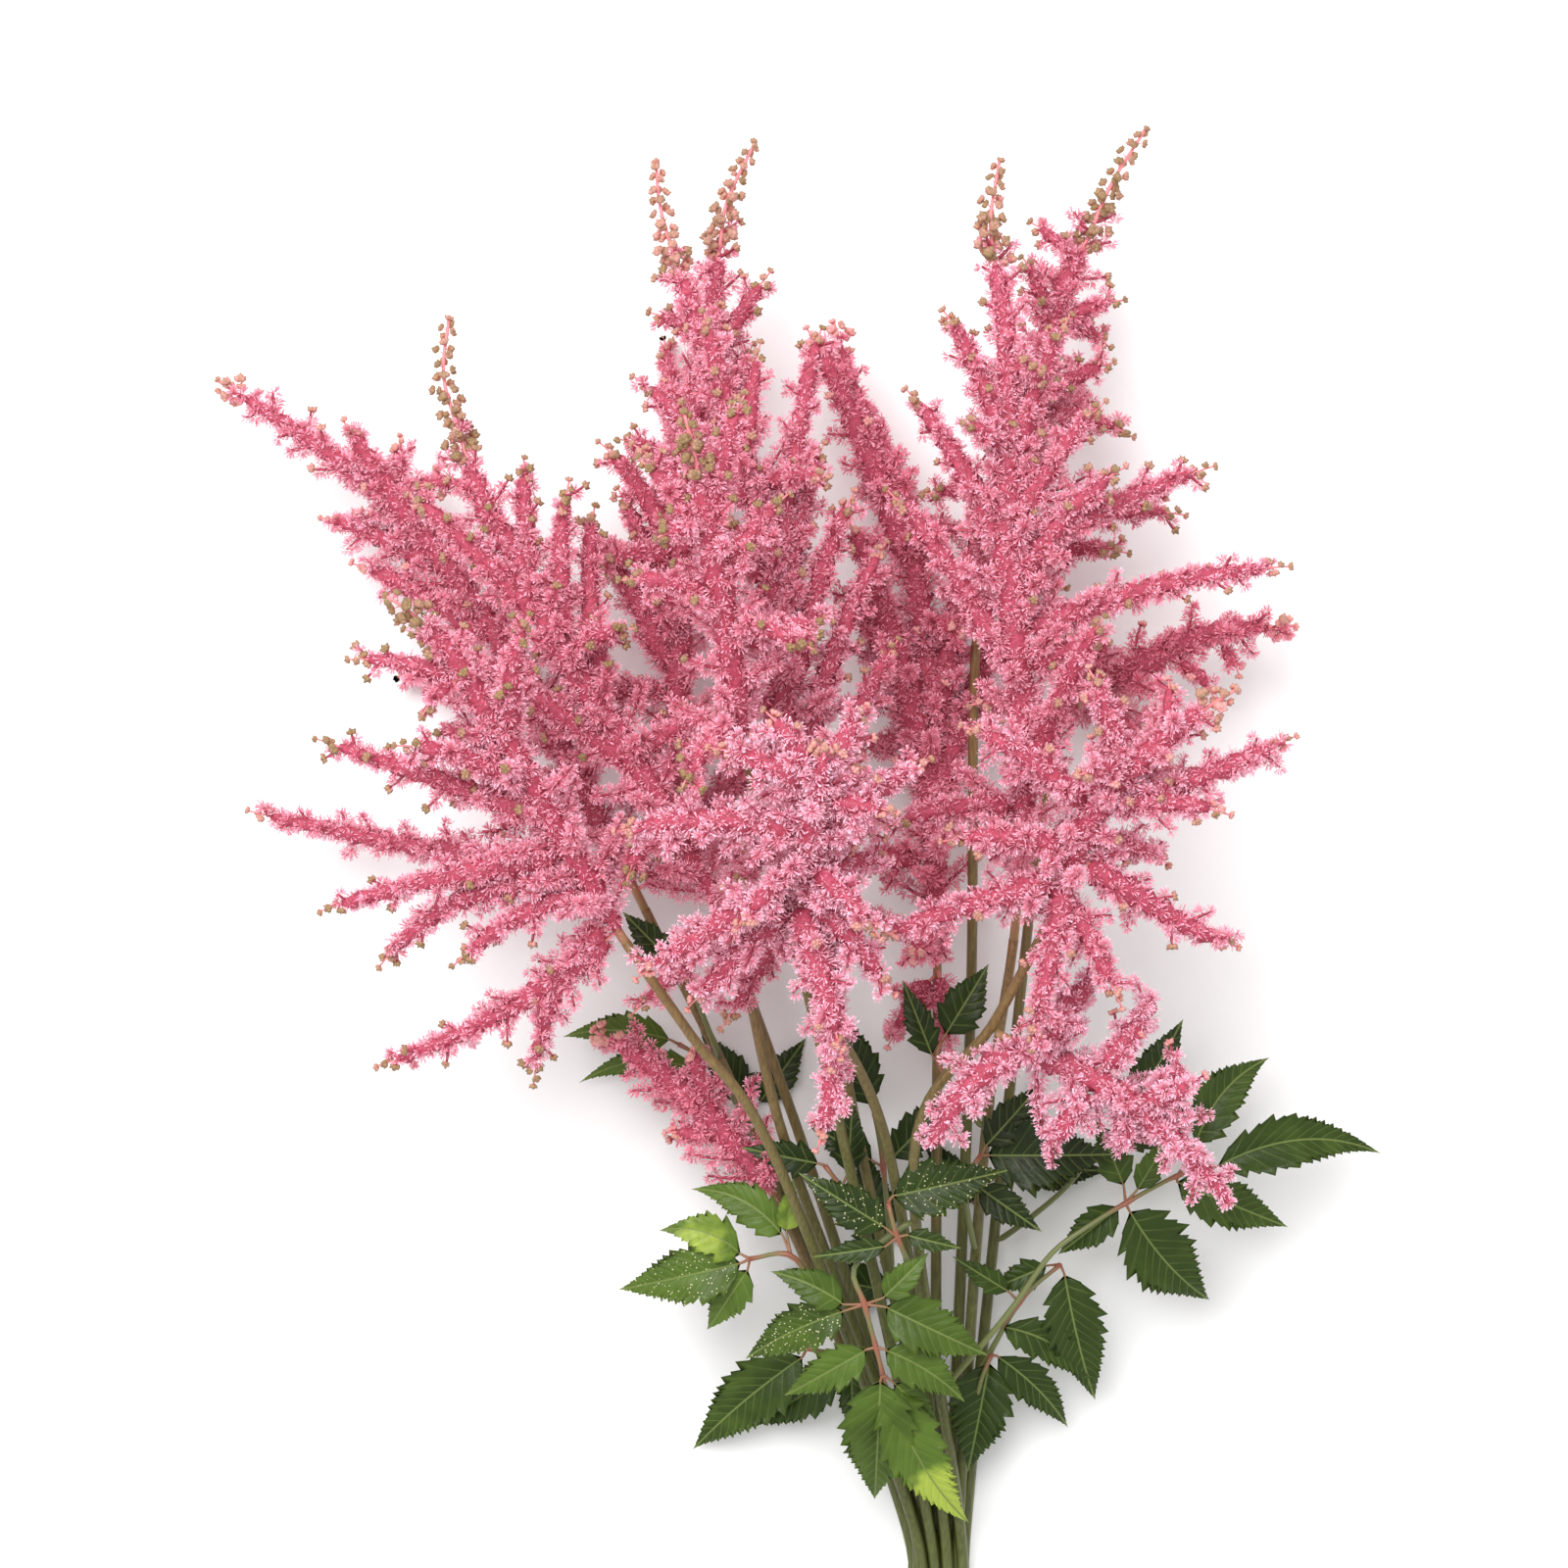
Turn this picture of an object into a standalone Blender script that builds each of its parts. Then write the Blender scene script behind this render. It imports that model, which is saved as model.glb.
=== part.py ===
"""A bunch of cut astilbe that lies on a surface: the flowers point to +Y and the top of the bunch to +Z."""

import math

import bmesh
import bpy
import numpy as np

# Driving dimensions, in millimetres
MM = 0.001
GAP = 0.5
STEM_RADIUS = 2.75
STEM_TOP_RADIUS = 2.1
STEM_PITCH = 7.0
STEM_POINT_SPACING = 60
BUNDLE_X = 62
CUT_END_Y = -352
BUNDLE_TOP_Y = -268
ROW_HEIGHTS = (2.38, 7.7, 13.5)

CORE_RADII = ((0.05, 7), (0.25, 12), (0.5, 13), (0.8, 8.5), (1, 4.5))
BARE_SHARE = 0.05
FLORET_PITCH = 23
BRANCH_BARE_LENGTH = 17
LAST_RING_TO_TIP = 9
BRANCH_BASE_RADIUS = 12
BRANCH_TIP_RADIUS = 5
LONG_BRANCH = 70
BRANCH_BOW = 0.16
VALLEY_SHARE = 0.55
FLORET_LEAN = 0.35
RING_CORNERS = 6

STEM_CORNERS = 6
PETIOLE_RADIUS = 1.5
PETIOLE_TIP_RADIUS = 1.1
PETIOLE_CORNERS = 4
STALK_HALF_WIDTH = 1.0
BLADE_HALF_THICKNESS = 0.42
BLADE_ARCH = 0.07
BLADE_KEEL = 0.16
BLADE_SKEW = 0.62
BLADE_TAPER = 1.2
TOOTH_PITCH = 15
TOOTH_PLACE = 0.72
FEWEST_TEETH = 3
MOST_TEETH = 4
NOTCH_SHARE = 0.78

# How side branches look for free room: shares of the rachis, directions and reaches tried, and score weights
ROOM_STEP = 6
LOWEST_SHARE = 0.04
SHARE_SPAN = 0.72
GOLDEN = 0.618
PLUME_SHIFT = 0.37
SPREAD_TAPER = 0.7
TRIED_TURNS = 18
TRIED_RISES = (48, 72, 96)
TRIED_REACHES = (1, 0.8, 0.62, 0.46)
OWN_OVERLAP = 4
APART_ENOUGH = 6
APART_WEIGHT = 2.5
BARE_WEIGHT = 4

STEM_COLOUR = (0.16, 0.20, 0.07)
STEM_ROUGHNESS = 0.45
PETAL_COLOUR = (0.78, 0.25, 0.42)
PETAL_ROUGHNESS = 0.6
LEAF_COLOUR = (0.06, 0.17, 0.04)
LEAF_ROUGHNESS = 0.4

# Each flower head: its rachis from base to tip, its stem's column and row in the bundle, the points that
# the stem passes on its way, its longest side branches as (share of the rachis, tip, how far its middle is
# pulled off the straight line where it doesn't just arch out), how many more it has and how long those may be
# at its base. One has no stem of its own and starts beside another's, at the given Y.
PLUMES = [
    {
        "name": "far_left",
        "rachis": [(-66, 4, 52), (-84, 40, 56), (-109, 88, 58), (-135, 131, 56), (-166, 172, 54),
                   (-188, 193, 52), (-217, 215, 50), (-256, 240, 46)],
        "slot": (-2, 0),
        "via": [(-12, -110, 22)],
        "branches": [(0.62, (-199, 221, 66)), (0.56, (-211, 180, 38)), (0.44, (-196, 159, 54)),
                     (0.06, (-244, 50, 30), (3, -6, 0)), (0.34, (-180, 110, -1)), (0.66, (-176, 216, 36))],
        "more": 4,
        "spread": 62,
    },
    {
        "name": "left",
        "rachis": [(-26, -8, 96), (-44, 26, 104), (-64, 62, 110), (-101, 119, 114), (-117, 152, 113),
                   (-136, 184, 110), (-146, 214, 106), (-153, 238, 102), (-151, 263, 98)],
        "slot": (-0.5, 1),
        "via": [(-4, -100, 62)],
        "branches": [(0.58, (-118, 202, 108)), (0.48, (-98, 192, 120)), (0.38, (-88, 182, 96)),
                     (0.52, (-167, 186, 120)), (0.28, (-168, 128, 130)),
                     (0.04, (-72, -38, 100), (0, 0, 0))],
        "more": 4,
        "spread": 66,
    },
    {
        "name": "left_front",
        "rachis": [(-72, -8, 132), (-86, 16, 142), (-102, 43, 152), (-125, 83, 168), (-147, 119, 182),
                   (-161, 133, 190), (-171, 140, 194)],
        "slot": (-1.5, 2),
        "via": [(-10, -100, 92), (-46, -46, 118)],
        "branches": [(0.72, (-188, 114, 180)), (0.36, (-203, 81, 160), (0, 0, 0)), (0.44, (-168, 78, 190)),
                     (0.26, (-203, 8, 140), (-3, 4, 0)), (0.20, (-179, -16, 124), (-13, 20, 4)),
                     (0.16, (-146, -15, 146), (-6, 9, 2)), (0.05, (-182, -60, 98), (6, -11, -2)),
                     (0.07, (-114, -68, 104), (-12, 18, 3)), (0.55, (-112, 132, 196))],
        "more": 3,
        "spread": 66,
    },
    {
        "name": "centre_left",
        "rachis": [(-34, 4, 46), (-44, 46, 52), (-52, 84, 58), (-52, 148, 62), (-49, 191, 64),
                   (-44, 234, 64), (-38, 268, 63), (-34, 299, 62), (-31, 318, 60), (-19, 344, 56)],
        "slot": (-1, 0),
        "via": [(6, -110, 26)],
        "branches": [(0.66, (-12, 286, 70)), (0.46, (-87, 212, 60)), (0.52, (-20, 258, 20)),
                     (0.50, (-60, 262, -1)), (0.30, (-96, 178, 66)), (0.34, (-79, 192, 56))],
        "more": 5,
        "spread": 72,
    },
    {
        "name": "centre",
        "rachis": [(10, 6, 94), (2, 52, 106), (-6, 96, 116), (-14, 169, 124), (-24, 202, 126),
                   (-33, 230, 126), (-43, 259, 124), (-51, 282, 122), (-59, 309, 118), (-61, 329, 114)],
        "slot": (0.5, 1),
        "via": [(26, -90, 58)],
        "branches": [(0.40, (10, 258, 112)), (0.58, (-16, 250, 132)), (0.52, (-70, 236, 128)),
                     (0.42, (-70, 206, 146)), (0.26, (24, 187, 130)), (0.60, (-40, 262, 148)),
                     (0.04, (-33, -43, 110), (0, 0, 0)), (0.36, (11, 208, 118)), (0.18, (38, 166, 112)),
                     (0.08, (43, 124, 112))],
        "more": 4,
        "spread": 74,
    },
    {
        "name": "centre_front",
        "rachis": [(-22, 74, 170), (-27, 107, 182), (-32, 139, 196), (-38, 171, 210), (-43, 199, 222),
                   (-47, 214, 228)],
        "slot": (-0.5, 2),
        "via": [(12, -60, 106)],
        "branches": [(0.66, (-22, 222, 224)), (0.62, (-66, 196, 214)), (0.46, (-74, 146, 208)),
                     (0.30, (14, 130, 186)), (0.50, (-4, 182, 206))],
        "more": 3,
        "spread": 62,
    },
    {
        "name": "front",
        "rachis": [(-1, 9, 172), (3, 31, 194), (7, 52, 214), (9, 66, 228), (11, 77, 238)],
        "slot": (0.5, 2),
        "via": [(40, -100, 82), (10, -30, 136)],
        "branches": [(0.75, (-37, 77, 214)), (0.50, (-76, 42, 188)), (0.80, (-14, 92, 232)),
                     (0.78, (28, 94, 222)), (0.66, (40, 50, 222)), (0.42, (55, 72, 196)),
                     (0.34, (-26, 2, 204)), (0.30, (34, -2, 206)), (0.14, (40, -26, 180)),
                     (0.08, (18, -52, 192)), (0.12, (8, -92, 164), (22, 0, 0)), (0.12, (-68, -20, 166)),
                     (0.10, (-47, -33, 150), (0, 0, 0))],
        "more": 3,
        "spread": 56,
    },
    {
        "name": "back",
        "rachis": [(62, -28, 36), (61, 18, 42), (59, 66, 48), (54, 140, 52), (48, 176, 52), (39, 205, 50),
                   (25, 235, 48), (16, 266, 44)],
        "slot": (0, 0),
        "via": [(62, -120, 20)],
        "branches": [(0.60, (4, 262, 62)), (0.26, (92, 134, 46)), (0.36, (18, 150, 60)),
                     (0.34, (82, 178, 60)), (0.30, (22, 178, 84)),
                     (0.02, (40, -54, 44), (0, 6, 4)), (0.03, (68, -56, 46), (0, 4, 6))],
        "more": 6,
        "spread": 60,
    },
    {
        "name": "right",
        "rachis": [(93, -8, 100), (95, 30, 112), (97, 70, 124), (92, 133, 134), (89, 166, 138),
                   (89, 208, 138), (89, 250, 136), (85, 278, 134), (82, 301, 132), (86, 328, 128)],
        "slot": (1.5, 1),
        "via": [(82, -100, 56)],
        "branches": [(0.64, (62, 264, 130)), (0.50, (46, 230, 136)), (0.52, (130, 224, 146)),
                     (0.46, (138, 196, 152)), (0.50, (178, 198, 126), (-2, 5, 0)),
                     (0.40, (210, 155, 128), (0, 12, 2)), (0.20, (128, 132, 176)),
                     (0.34, (38, 188, 122)), (0.60, (116, 262, 136))],
        "more": 5,
        "spread": 74,
    },
    {
        "name": "right_back",
        "rachis": [(78, 120, 64), (88, 148, 64), (97, 182, 64), (104, 221, 64), (109, 255, 64),
                   (117, 281, 64), (128, 303, 62), (138, 326, 60), (153, 350, 56)],
        "slot": (1, 0),
        "via": [(77, -40, 30)],
        "branches": [(0.60, (143, 274, 66)), (0.60, (98, 292, 76)), (0.46, (138, 246, 76)),
                     (0.22, (170, 180, 62)), (0.44, (130, 232, -1))],
        "more": 5,
        "spread": 66,
    },
    {
        "name": "right_front",
        "rachis": [(108, 8, 152), (116, 33, 164), (129, 58, 176), (149, 78, 188), (167, 92, 196),
                   (181, 101, 202)],
        "slot": (1.5, 2),
        "via": [(50, -100, 104), (84, -40, 126)],
        "branches": [(0.38, (208, 82, 176), (2, -4, 0)), (0.40, (180, 49, 184)),
                     (0.22, (186, -7, 150), (4, -9, 0)), (0.36, (68, 86, 186)), (0.22, (60, 38, 178)),
                     (0.12, (32, -3, 176), (0, 4, 0)), (0.08, (136, -32, 166), (0, 6, 0)),
                     (0.14, (98, -50, 160)), (0.50, (120, 110, 200))],
        "more": 3,
        "spread": 60,
    },
    {
        "name": "far_right",
        "rachis": [(113, 79, 48), (130, 104, 48), (154, 116, 47), (185, 129, 45), (220, 132, 42)],
        "slot": (2, 0),
        "via": [(96, -60, 30)],
        "branches": [(0.25, (150, 76, 50)), (0.20, (170, 56, -1)), (0.30, (112, 126, 40))],
        "more": 4,
        "spread": 52,
    },
    {
        "name": "side_spray",
        "rachis": [("right_front", -42), (108, -56, 132), (128, -65, 136), (157, -86, 134),
                   (185, -117, 126)],
        "slot": None,
        "via": [],
        "branches": [(0.14, (57, -92, 132), (-8, 14, 16)), (0.35, (150, -28, 140)), (0.50, (164, -66, 153)),
                     (0.15, (112, -34, 148)), (0.45, (139, -95, 119))],
        "more": 3,
        "spread": 46,
    },
    {
        "name": "low_left",
        "rachis": [(-9, -122, 52), (-23, -103, 52), (-43, -81, 51), (-62, -64, 50), (-90, -47, 48)],
        "slot": (-1.5, 1),
        "via": [(12, -170, 26)],
        "branches": [(0.30, (-58, -92, 48)), (0.40, (-46, -52, 54))],
        "more": 1,
        "spread": 34,
    },
]

# Each leaf: the stem that it grows from and where along Y, the other points of its petiole, and its leaflets
# as (the petiole point that the stalk starts from, the blade's base, the blade's tip, its width as a share of
# its length, how far it bends aside as a share of its length, to its right from above when positive).
LEAVES = {
    "leaf_left": (
        ("left_front", -160), (-3, -144, 72), (-21, -146, 67),
        [(1, (-7, -135, 69), (-47, -116, 60), 0.42, 0.13), (1, (-5, -134, 70), (-2, -110, 74), 0.48, 0),
         (2, (-25, -144, 66), (-61, -134, 64), 0.54, 0.14), (2, (-25, -148, 66), (-79, -161, 50), 0.46, 0),
         (2, (-22, -151, 65), (-40, -179, 48), 0.48, 0)],
    ),
    "leaf_front": (
        ("right_front", -128), (25, -147, 88), (29, -164, 88), (34, -183, 84), (37, -195, 82),
        [(2, (20, -164, 88), (-12, -150, 84), 0.48, 0.06), (2, (20, -167, 87), (-23, -190, 66), 0.42, 0.04),
         (2, (38, -165, 89), (83, -187, 80), 0.50, 0), (2, (37, -161, 90), (57, -141, 90), 0.50, 0),
         (3, (30, -184, 84), (-6, -206, 66), 0.42, 0), (3, (38, -184, 85), (73, -208, 74), 0.46, -0.06),
         (4, (36, -198, 81), (34, -254, 46), 0.50, 0), (4, (42, -199, 80), (62, -219, 66), 0.42, 0),
         (4, (39, -201, 78), (76, -265, 42), 0.34, 0.05)],
    ),
    "leaf_low_left": (
        ("left", -206), (23, -194, 26), (4, -189, 30),
        [(2, (2, -193, 29), (-47, -237, 4), 0.42, 0.03), (1, (18, -200, 26), (-21, -226, 9), 0.46, 0),
         (1, (24, -200, 25), (25, -229, 10), 0.40, 0)],
    ),
    "leaf_centre": (
        ("right_front", -150), (43, -134, 98), (39, -119, 100),
        [(1, (47, -133, 99), (71, -139, 97), 0.40, 0), (2, (41, -116, 101), (91, -105, 98), 0.50, 0),
         (1, (38, -130, 98), (0, -106, 98), 0.44, 0), (1, (38, -138, 97), (6, -143, 92), 0.34, 0)],
    ),
    "leaf_back_left": (
        ("centre_front", -135), (19, -115, 69), (12, -105, 70),
        [(2, (9, -104, 70), (-25, -97, 68), 0.46, 0), (1, (22, -108, 70), (24, -74, 74), 0.42, 0)],
    ),
    "leaf_back_right": (
        ("right", -140), (73, -112, 74), (80, -100, 76),
        [(2, (83, -100, 76), (138, -100, 71), 0.60, 0), (2, (82, -96, 77), (107, -68, 74), 0.46, 0),
         (1, (79, -114, 74), (107, -134, 70), 0.46, 0)],
    ),
    "leaf_right": (
        ("right_front", -204), (92, -172, 54), (111, -145, 59), (128, -132, 60), (144, -122, 62),
        (167, -110, 60), (182, -107, 57),
        [(4, (143, -114, 63), (131, -84, 60), 0.50, 0), (4, (149, -116, 63), (164, -91, 62), 0.42, 0),
         (5, (175, -96, 57), (209, -59, 42), 0.44, -0.11),
         (6, (185, -106, 56), (259, -102, 36), 0.32, -0.12),
         (5, (167, -113, 58), (217, -134, 42), 0.42, 0),
         (4, (146, -126, 60), (183, -167, 34), 0.54, 0.05), (4, (141, -124, 57), (115, -146, 44), 0.46, 0)],
    ),
    "leaf_low_right": (
        ("right", -200), (98, -167, 46), (116, -150, 48),
        [(2, (118, -155, 46), (133, -213, 20), 0.42, 0.02), (1, (93, -162, 47), (68, -146, 52), 0.38, 0),
         (1, (91, -178, 44), (131, -207, 25), 0.36, -0.12), (2, (110, -151, 44), (85, -162, 38), 0.50, 0)],
    ),
    "leaf_low_centre": (
        ("right", -228), (81, -204, 36), (86, -191, 37),
        [(2, (89, -192, 36), (121, -226, 14), 0.36, -0.05), (2, (85, -195, 35), (76, -245, 22), 0.54, 0)],
    ),
    "leaf_upper_left": (
        ("far_left", -86), (-37, -64, 22), (-53, -54, 23),
        [(2, (-57, -52, 23), (-105, -51, 20), 0.36, 0.08), (1, (-45, -65, 22), (-98, -72, 14), 0.26, 0.12)],
    ),
    "leaf_upper_right": (
        ("right", -88), (62, -61, 60), (63, -51, 60),
        [(2, (65, -48, 60), (84, -17, 58), 0.56, 0), (1, (59, -57, 60), (46, -24, 58), 0.40, 0)],
    ),
    "leaf_far_left": (
        ("far_left", -56), (-47, -27, 62), (-54, -18, 62),
        [(2, (-56, -15, 62), (-77, 6, 60), 0.50, 0)],
    ),
    "leaf_right_back": (
        ("far_right", -140), (117, -118, 44), (133, -98, 44), (146, -85, 44),
        [(3, (148, -82, 44), (171, -42, 38), 0.46, 0), (2, (140, -96, 43), (184, -80, 32), 0.40, 0)],
    ),
    "leaf_middle": (
        ("centre", -152), (38, -108, 36), (34, -84, 38),
        [(2, (32, -80, 38), (14, -34, 34), 0.46, 0), (1, (42, -104, 36), (72, -72, 34), 0.44, 0),
         (1, (33, -105, 36), (4, -88, 34), 0.50, 0)],
    ),
    "leaf_under": (
        ("back", -196), (45, -167, 3), (38, -152, 3),
        [(2, (37, -149, 3), (29, -99, 1.2), 0.46, 0), (1, (42, -166, 3), (-6, -156, 1.2), 0.44, 0)],
    ),
    "leaf_behind": (
        ("far_left", -118), (-22, -100, 4), (-19, -84, 4),
        [(2, (-21, -81, 4), (-44, -48, 1.2), 0.46, 0), (2, (-17, -81, 4), (4, -52, 1.2), 0.48, 0),
         (1, (-25, -101, 4), (-36, -84, 1.2), 0.50, 0)],
    ),
    "leaf_behind_right": (
        ("right", -150), (82, -128, 4), (94, -112, 4),
        [(2, (98, -110, 4), (140, -112, 1.2), 0.48, 0), (2, (96, -107, 4), (110, -72, 1.2), 0.48, 0),
         (1, (79, -126, 4), (56, -96, 1.2), 0.46, 0)],
    ),
}


class Route:
    """A Catmull-Rom curve through the given points, read by the length along it."""

    PER_RUN = 16

    def __init__(self, points):
        points = np.asarray(points, float)
        ends = np.vstack([2 * points[0] - points[1], points, 2 * points[-1] - points[-2]])
        u = np.linspace(0, 1, self.PER_RUN + 1)[:-1, None]
        runs = [
            b + 0.5 * ((c - a) * u + (2 * a - 5 * b + 4 * c - d) * u**2 + (3 * b - a - 3 * c + d) * u**3)
            for a, b, c, d in zip(ends, ends[1:], ends[2:], ends[3:])
        ]
        self.fine = np.vstack(runs + [points[-1:]])
        steps = np.linalg.norm(np.diff(self.fine, axis=0), axis=1)
        self.along = np.append(0, np.cumsum(steps))
        self.length = self.along[-1]

    def length_to(self, point_number):
        return self.along[self.PER_RUN * point_number]

    def at(self, lengths):
        return np.stack([np.interp(lengths, self.along, axis) for axis in self.fine.T], axis=-1)

    def direction(self, length):
        ahead = self.at(min(length + 2, self.length)) - self.at(max(length - 2, 0))
        return ahead / np.linalg.norm(ahead)


def unit(vectors):
    return vectors / np.linalg.norm(vectors, axis=-1, keepdims=True)


def object_from(name, points, faces):
    """An object made of faces round points in millimetres, pressed flat where it would pass the surface."""
    points = np.array(points, float)
    points[:, 2] = np.maximum(points[:, 2], 0)
    mesh = bpy.data.meshes.new(name)
    mesh.from_pydata((points * MM).tolist(), [], faces)
    shape = bmesh.new()
    shape.from_mesh(mesh)
    bmesh.ops.remove_doubles(shape, verts=shape.verts, dist=1e-6)
    bmesh.ops.recalc_face_normals(shape, faces=shape.faces)
    shape.to_mesh(mesh)
    shape.free()
    return bpy.data.objects.new(name, mesh)


def ring_points(centres, radii, corners, reference):
    """Rings of corners round the centres, the first one square to the reference, and the headings there."""
    along = unit(np.gradient(centres, axis=0))
    side = unit(np.cross(along, reference))
    upright = np.cross(side, along)
    turn = np.arange(corners) * 2 * math.pi / corners
    outward = np.cos(turn)[:, None] * side[:, None] + np.sin(turn)[:, None] * upright[:, None]
    return centres[:, None] + radii[..., None] * outward, along


def relief_tube(name, centres, tall, low):
    """A loft of rings along the centres. Corners stand out to tall and in to low by turns, round each ring
    and from ring to ring, so that every outer corner is the point of one floret, leaning to the tip."""
    ring = np.arange(len(centres))[:, None]
    stands_out = (ring + np.arange(RING_CORNERS)) % 2 == 0
    radii = np.where(stands_out, tall[:, None], low[:, None])
    forward = np.where(stands_out, FLORET_LEAN * (tall - low)[:, None], 0)
    least_along = np.eye(3)[np.argmin(np.abs(centres[-1] - centres[0]))]
    points, along = ring_points(centres, radii, RING_CORNERS, least_along)
    points = points + forward[..., None] * along[:, None]
    pointed = tall[0] == 0
    faces = []
    if pointed:
        faces += [(j, RING_CORNERS + j, RING_CORNERS + (j + 1) % RING_CORNERS) for j in range(RING_CORNERS)]
    else:
        faces.append(tuple(range(RING_CORNERS)))
    for i in range(int(pointed), len(centres) - 1):
        for j in range(RING_CORNERS):
            a = i * RING_CORNERS + j
            b = i * RING_CORNERS + (j + 1) % RING_CORNERS
            c = b + RING_CORNERS
            d = a + RING_CORNERS
            faces += [(a, b, d), (b, c, d)] if (i + j) % 2 == 0 else [(a, b, c), (a, c, d)]
    last = (len(centres) - 1) * RING_CORNERS
    apex = len(centres) * RING_CORNERS
    faces += [(last + j, last + (j + 1) % RING_CORNERS, apex) for j in range(RING_CORNERS)]
    tip = centres[-1] + along[-1] * LAST_RING_TO_TIP
    return object_from(name, np.vstack([points.reshape(-1, 3), tip]), faces)


def plain_tube(name, centres, radii, corners):
    """A closed tube with a flat cap at each end and, with six corners, a flat facet facing down."""
    centres = np.asarray(centres, float)
    points, _ = ring_points(centres, np.asarray(radii)[:, None], corners, (0, 0, 1))
    faces = [tuple(range(corners)), tuple(range((len(centres) - 1) * corners, len(centres) * corners))]
    for i in range(len(centres) - 1):
        for j in range(corners):
            a = i * corners + j
            b = i * corners + (j + 1) % corners
            faces += [(a, b, b + corners), (a, b + corners, a + corners)]
    return object_from(name, points.reshape(-1, 3), faces)


def keep_outer_skin(mesh):
    """Removes every connected skin but the largest: the hollows and loose scraps that a join leaves."""
    shape = bmesh.new()
    shape.from_mesh(mesh)
    bmesh.ops.triangulate(shape, faces=shape.faces)
    unseen = set(shape.verts)
    skins = []
    while unseen:
        reached = [unseen.pop()]
        for vertex in reached:
            near = {edge.other_vert(vertex) for edge in vertex.link_edges} & unseen
            unseen -= near
            reached += near
        skins.append(reached)
    skins.sort(key=len)
    for skin in skins[:-1]:
        bmesh.ops.delete(shape, geom=skin, context="VERTS")
    shape.to_mesh(mesh)
    shape.free()


def fused(name, shapes, material, home):
    """One closed skin round all the shapes, as an object in the home collection."""
    scene = bpy.context.scene.collection
    repeats = bpy.data.collections.new(name + "_repeats")
    scene.children.link(repeats)
    for shape in shapes[1:]:
        repeats.objects.link(shape)
    core = shapes[0]
    scene.objects.link(core)
    if len(shapes) > 1:
        join = core.modifiers.new("join", "BOOLEAN")
        join.operation = "UNION"
        join.operand_type = "COLLECTION"
        join.collection = repeats
        join.solver = "MANIFOLD"
    graph = bpy.context.evaluated_depsgraph_get()
    mesh = bpy.data.meshes.new_from_object(core.evaluated_get(graph))
    for shape in shapes:
        bpy.data.objects.remove(shape)
    bpy.data.collections.remove(repeats)
    keep_outer_skin(mesh)
    mesh.name = name
    mesh.materials.clear()
    mesh.materials.append(material)
    home.objects.link(bpy.data.objects.new(name, mesh))


def finish(name, colour, roughness):
    material = bpy.data.materials.new(name)
    material.use_nodes = True
    shader = material.node_tree.nodes["Principled BSDF"]
    shader.inputs["Base Color"].default_value = (*colour, 1)
    shader.inputs["Roughness"].default_value = roughness
    return material


def stem_and_rachis(slot, via, rachis):
    """The one smooth route that a stem and its rachis share, and the length at which the rachis starts."""
    column, row = slot
    x = BUNDLE_X + column * STEM_PITCH
    z = ROW_HEIGHTS[row]
    straight = [(x, y, z) for y in (CUT_END_Y, (CUT_END_Y + BUNDLE_TOP_Y) / 2, BUNDLE_TOP_Y)]
    route = Route(straight + via + rachis)
    return route, route.length_to(len(straight) + len(via))


def stem_line(route, start):
    """Points along a stem and its radius at each: even in the bundle, then thinner up to the rachis."""
    bundle = BUNDLE_TOP_Y - CUT_END_Y
    free = np.linspace(bundle, start - GAP, round(start / STEM_POINT_SPACING))
    lengths = np.concatenate([[0, bundle / 2], free])
    radii = np.interp(lengths, (bundle, start), (STEM_RADIUS, STEM_TOP_RADIUS))
    return route.at(lengths), radii


def root_beside(stem, y, toward, radius):
    """The place beside a stem, at this y, where an end that heads toward a point just clears the stem."""
    centre = np.array([np.interp(y, stem[:, 1], axis) for axis in stem.T])
    run = np.searchsorted(stem[:, 1], y)
    lean = unit(stem[run] - stem[run - 1])
    heading = unit(np.asarray(toward, float) - centre)
    out = heading - (heading @ lean) * lean
    tilt = math.sqrt(1 - out @ out)
    return tuple(centre + unit(out) * (STEM_RADIUS + GAP + radius * tilt))


def rachis_rings(route, start):
    """Ring centres and the outer and inner corner radii: bare at the foot, then covered in florets."""
    length = route.length - start
    count = round(length * (1 - BARE_SHARE) / FLORET_PITCH)
    share = np.append(0, np.linspace(BARE_SHARE, 1 - LAST_RING_TO_TIP / length, count))
    tall = np.interp(share, *zip(*CORE_RADII))
    low = VALLEY_SHARE * tall
    tall[:2] = low[:2] = STEM_TOP_RADIUS
    return route.at(start + share * length), tall, low


def branch_rings(root, lean, tip, pull=None):
    """Ring centres and radii of a side branch: a Bezier curve whose middle point is pulled off the straight
    line, by default along lean, so that it arches out."""
    length = np.linalg.norm(tip - root)
    count = max(2, round((length - BRANCH_BARE_LENGTH) / FLORET_PITCH))
    first = BRANCH_BARE_LENGTH / length
    share = np.append(0, np.linspace(first, 1 - LAST_RING_TO_TIP / length, count))
    middle = (root + tip) / 2 + (BRANCH_BOW * length * lean if pull is None else np.array(pull))
    from_root, from_middle, from_tip = (1 - share) ** 2, 2 * share * (1 - share), share**2
    centres = np.outer(from_root, root) + np.outer(from_middle, middle) + np.outer(from_tip, tip)
    base = BRANCH_TIP_RADIUS + (BRANCH_BASE_RADIUS - BRANCH_TIP_RADIUS) * min(1, length / LONG_BRANCH)
    tall = base + (BRANCH_TIP_RADIUS - base) * share
    tall[0] = 0
    return centres, tall, VALLEY_SHARE * tall


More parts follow.
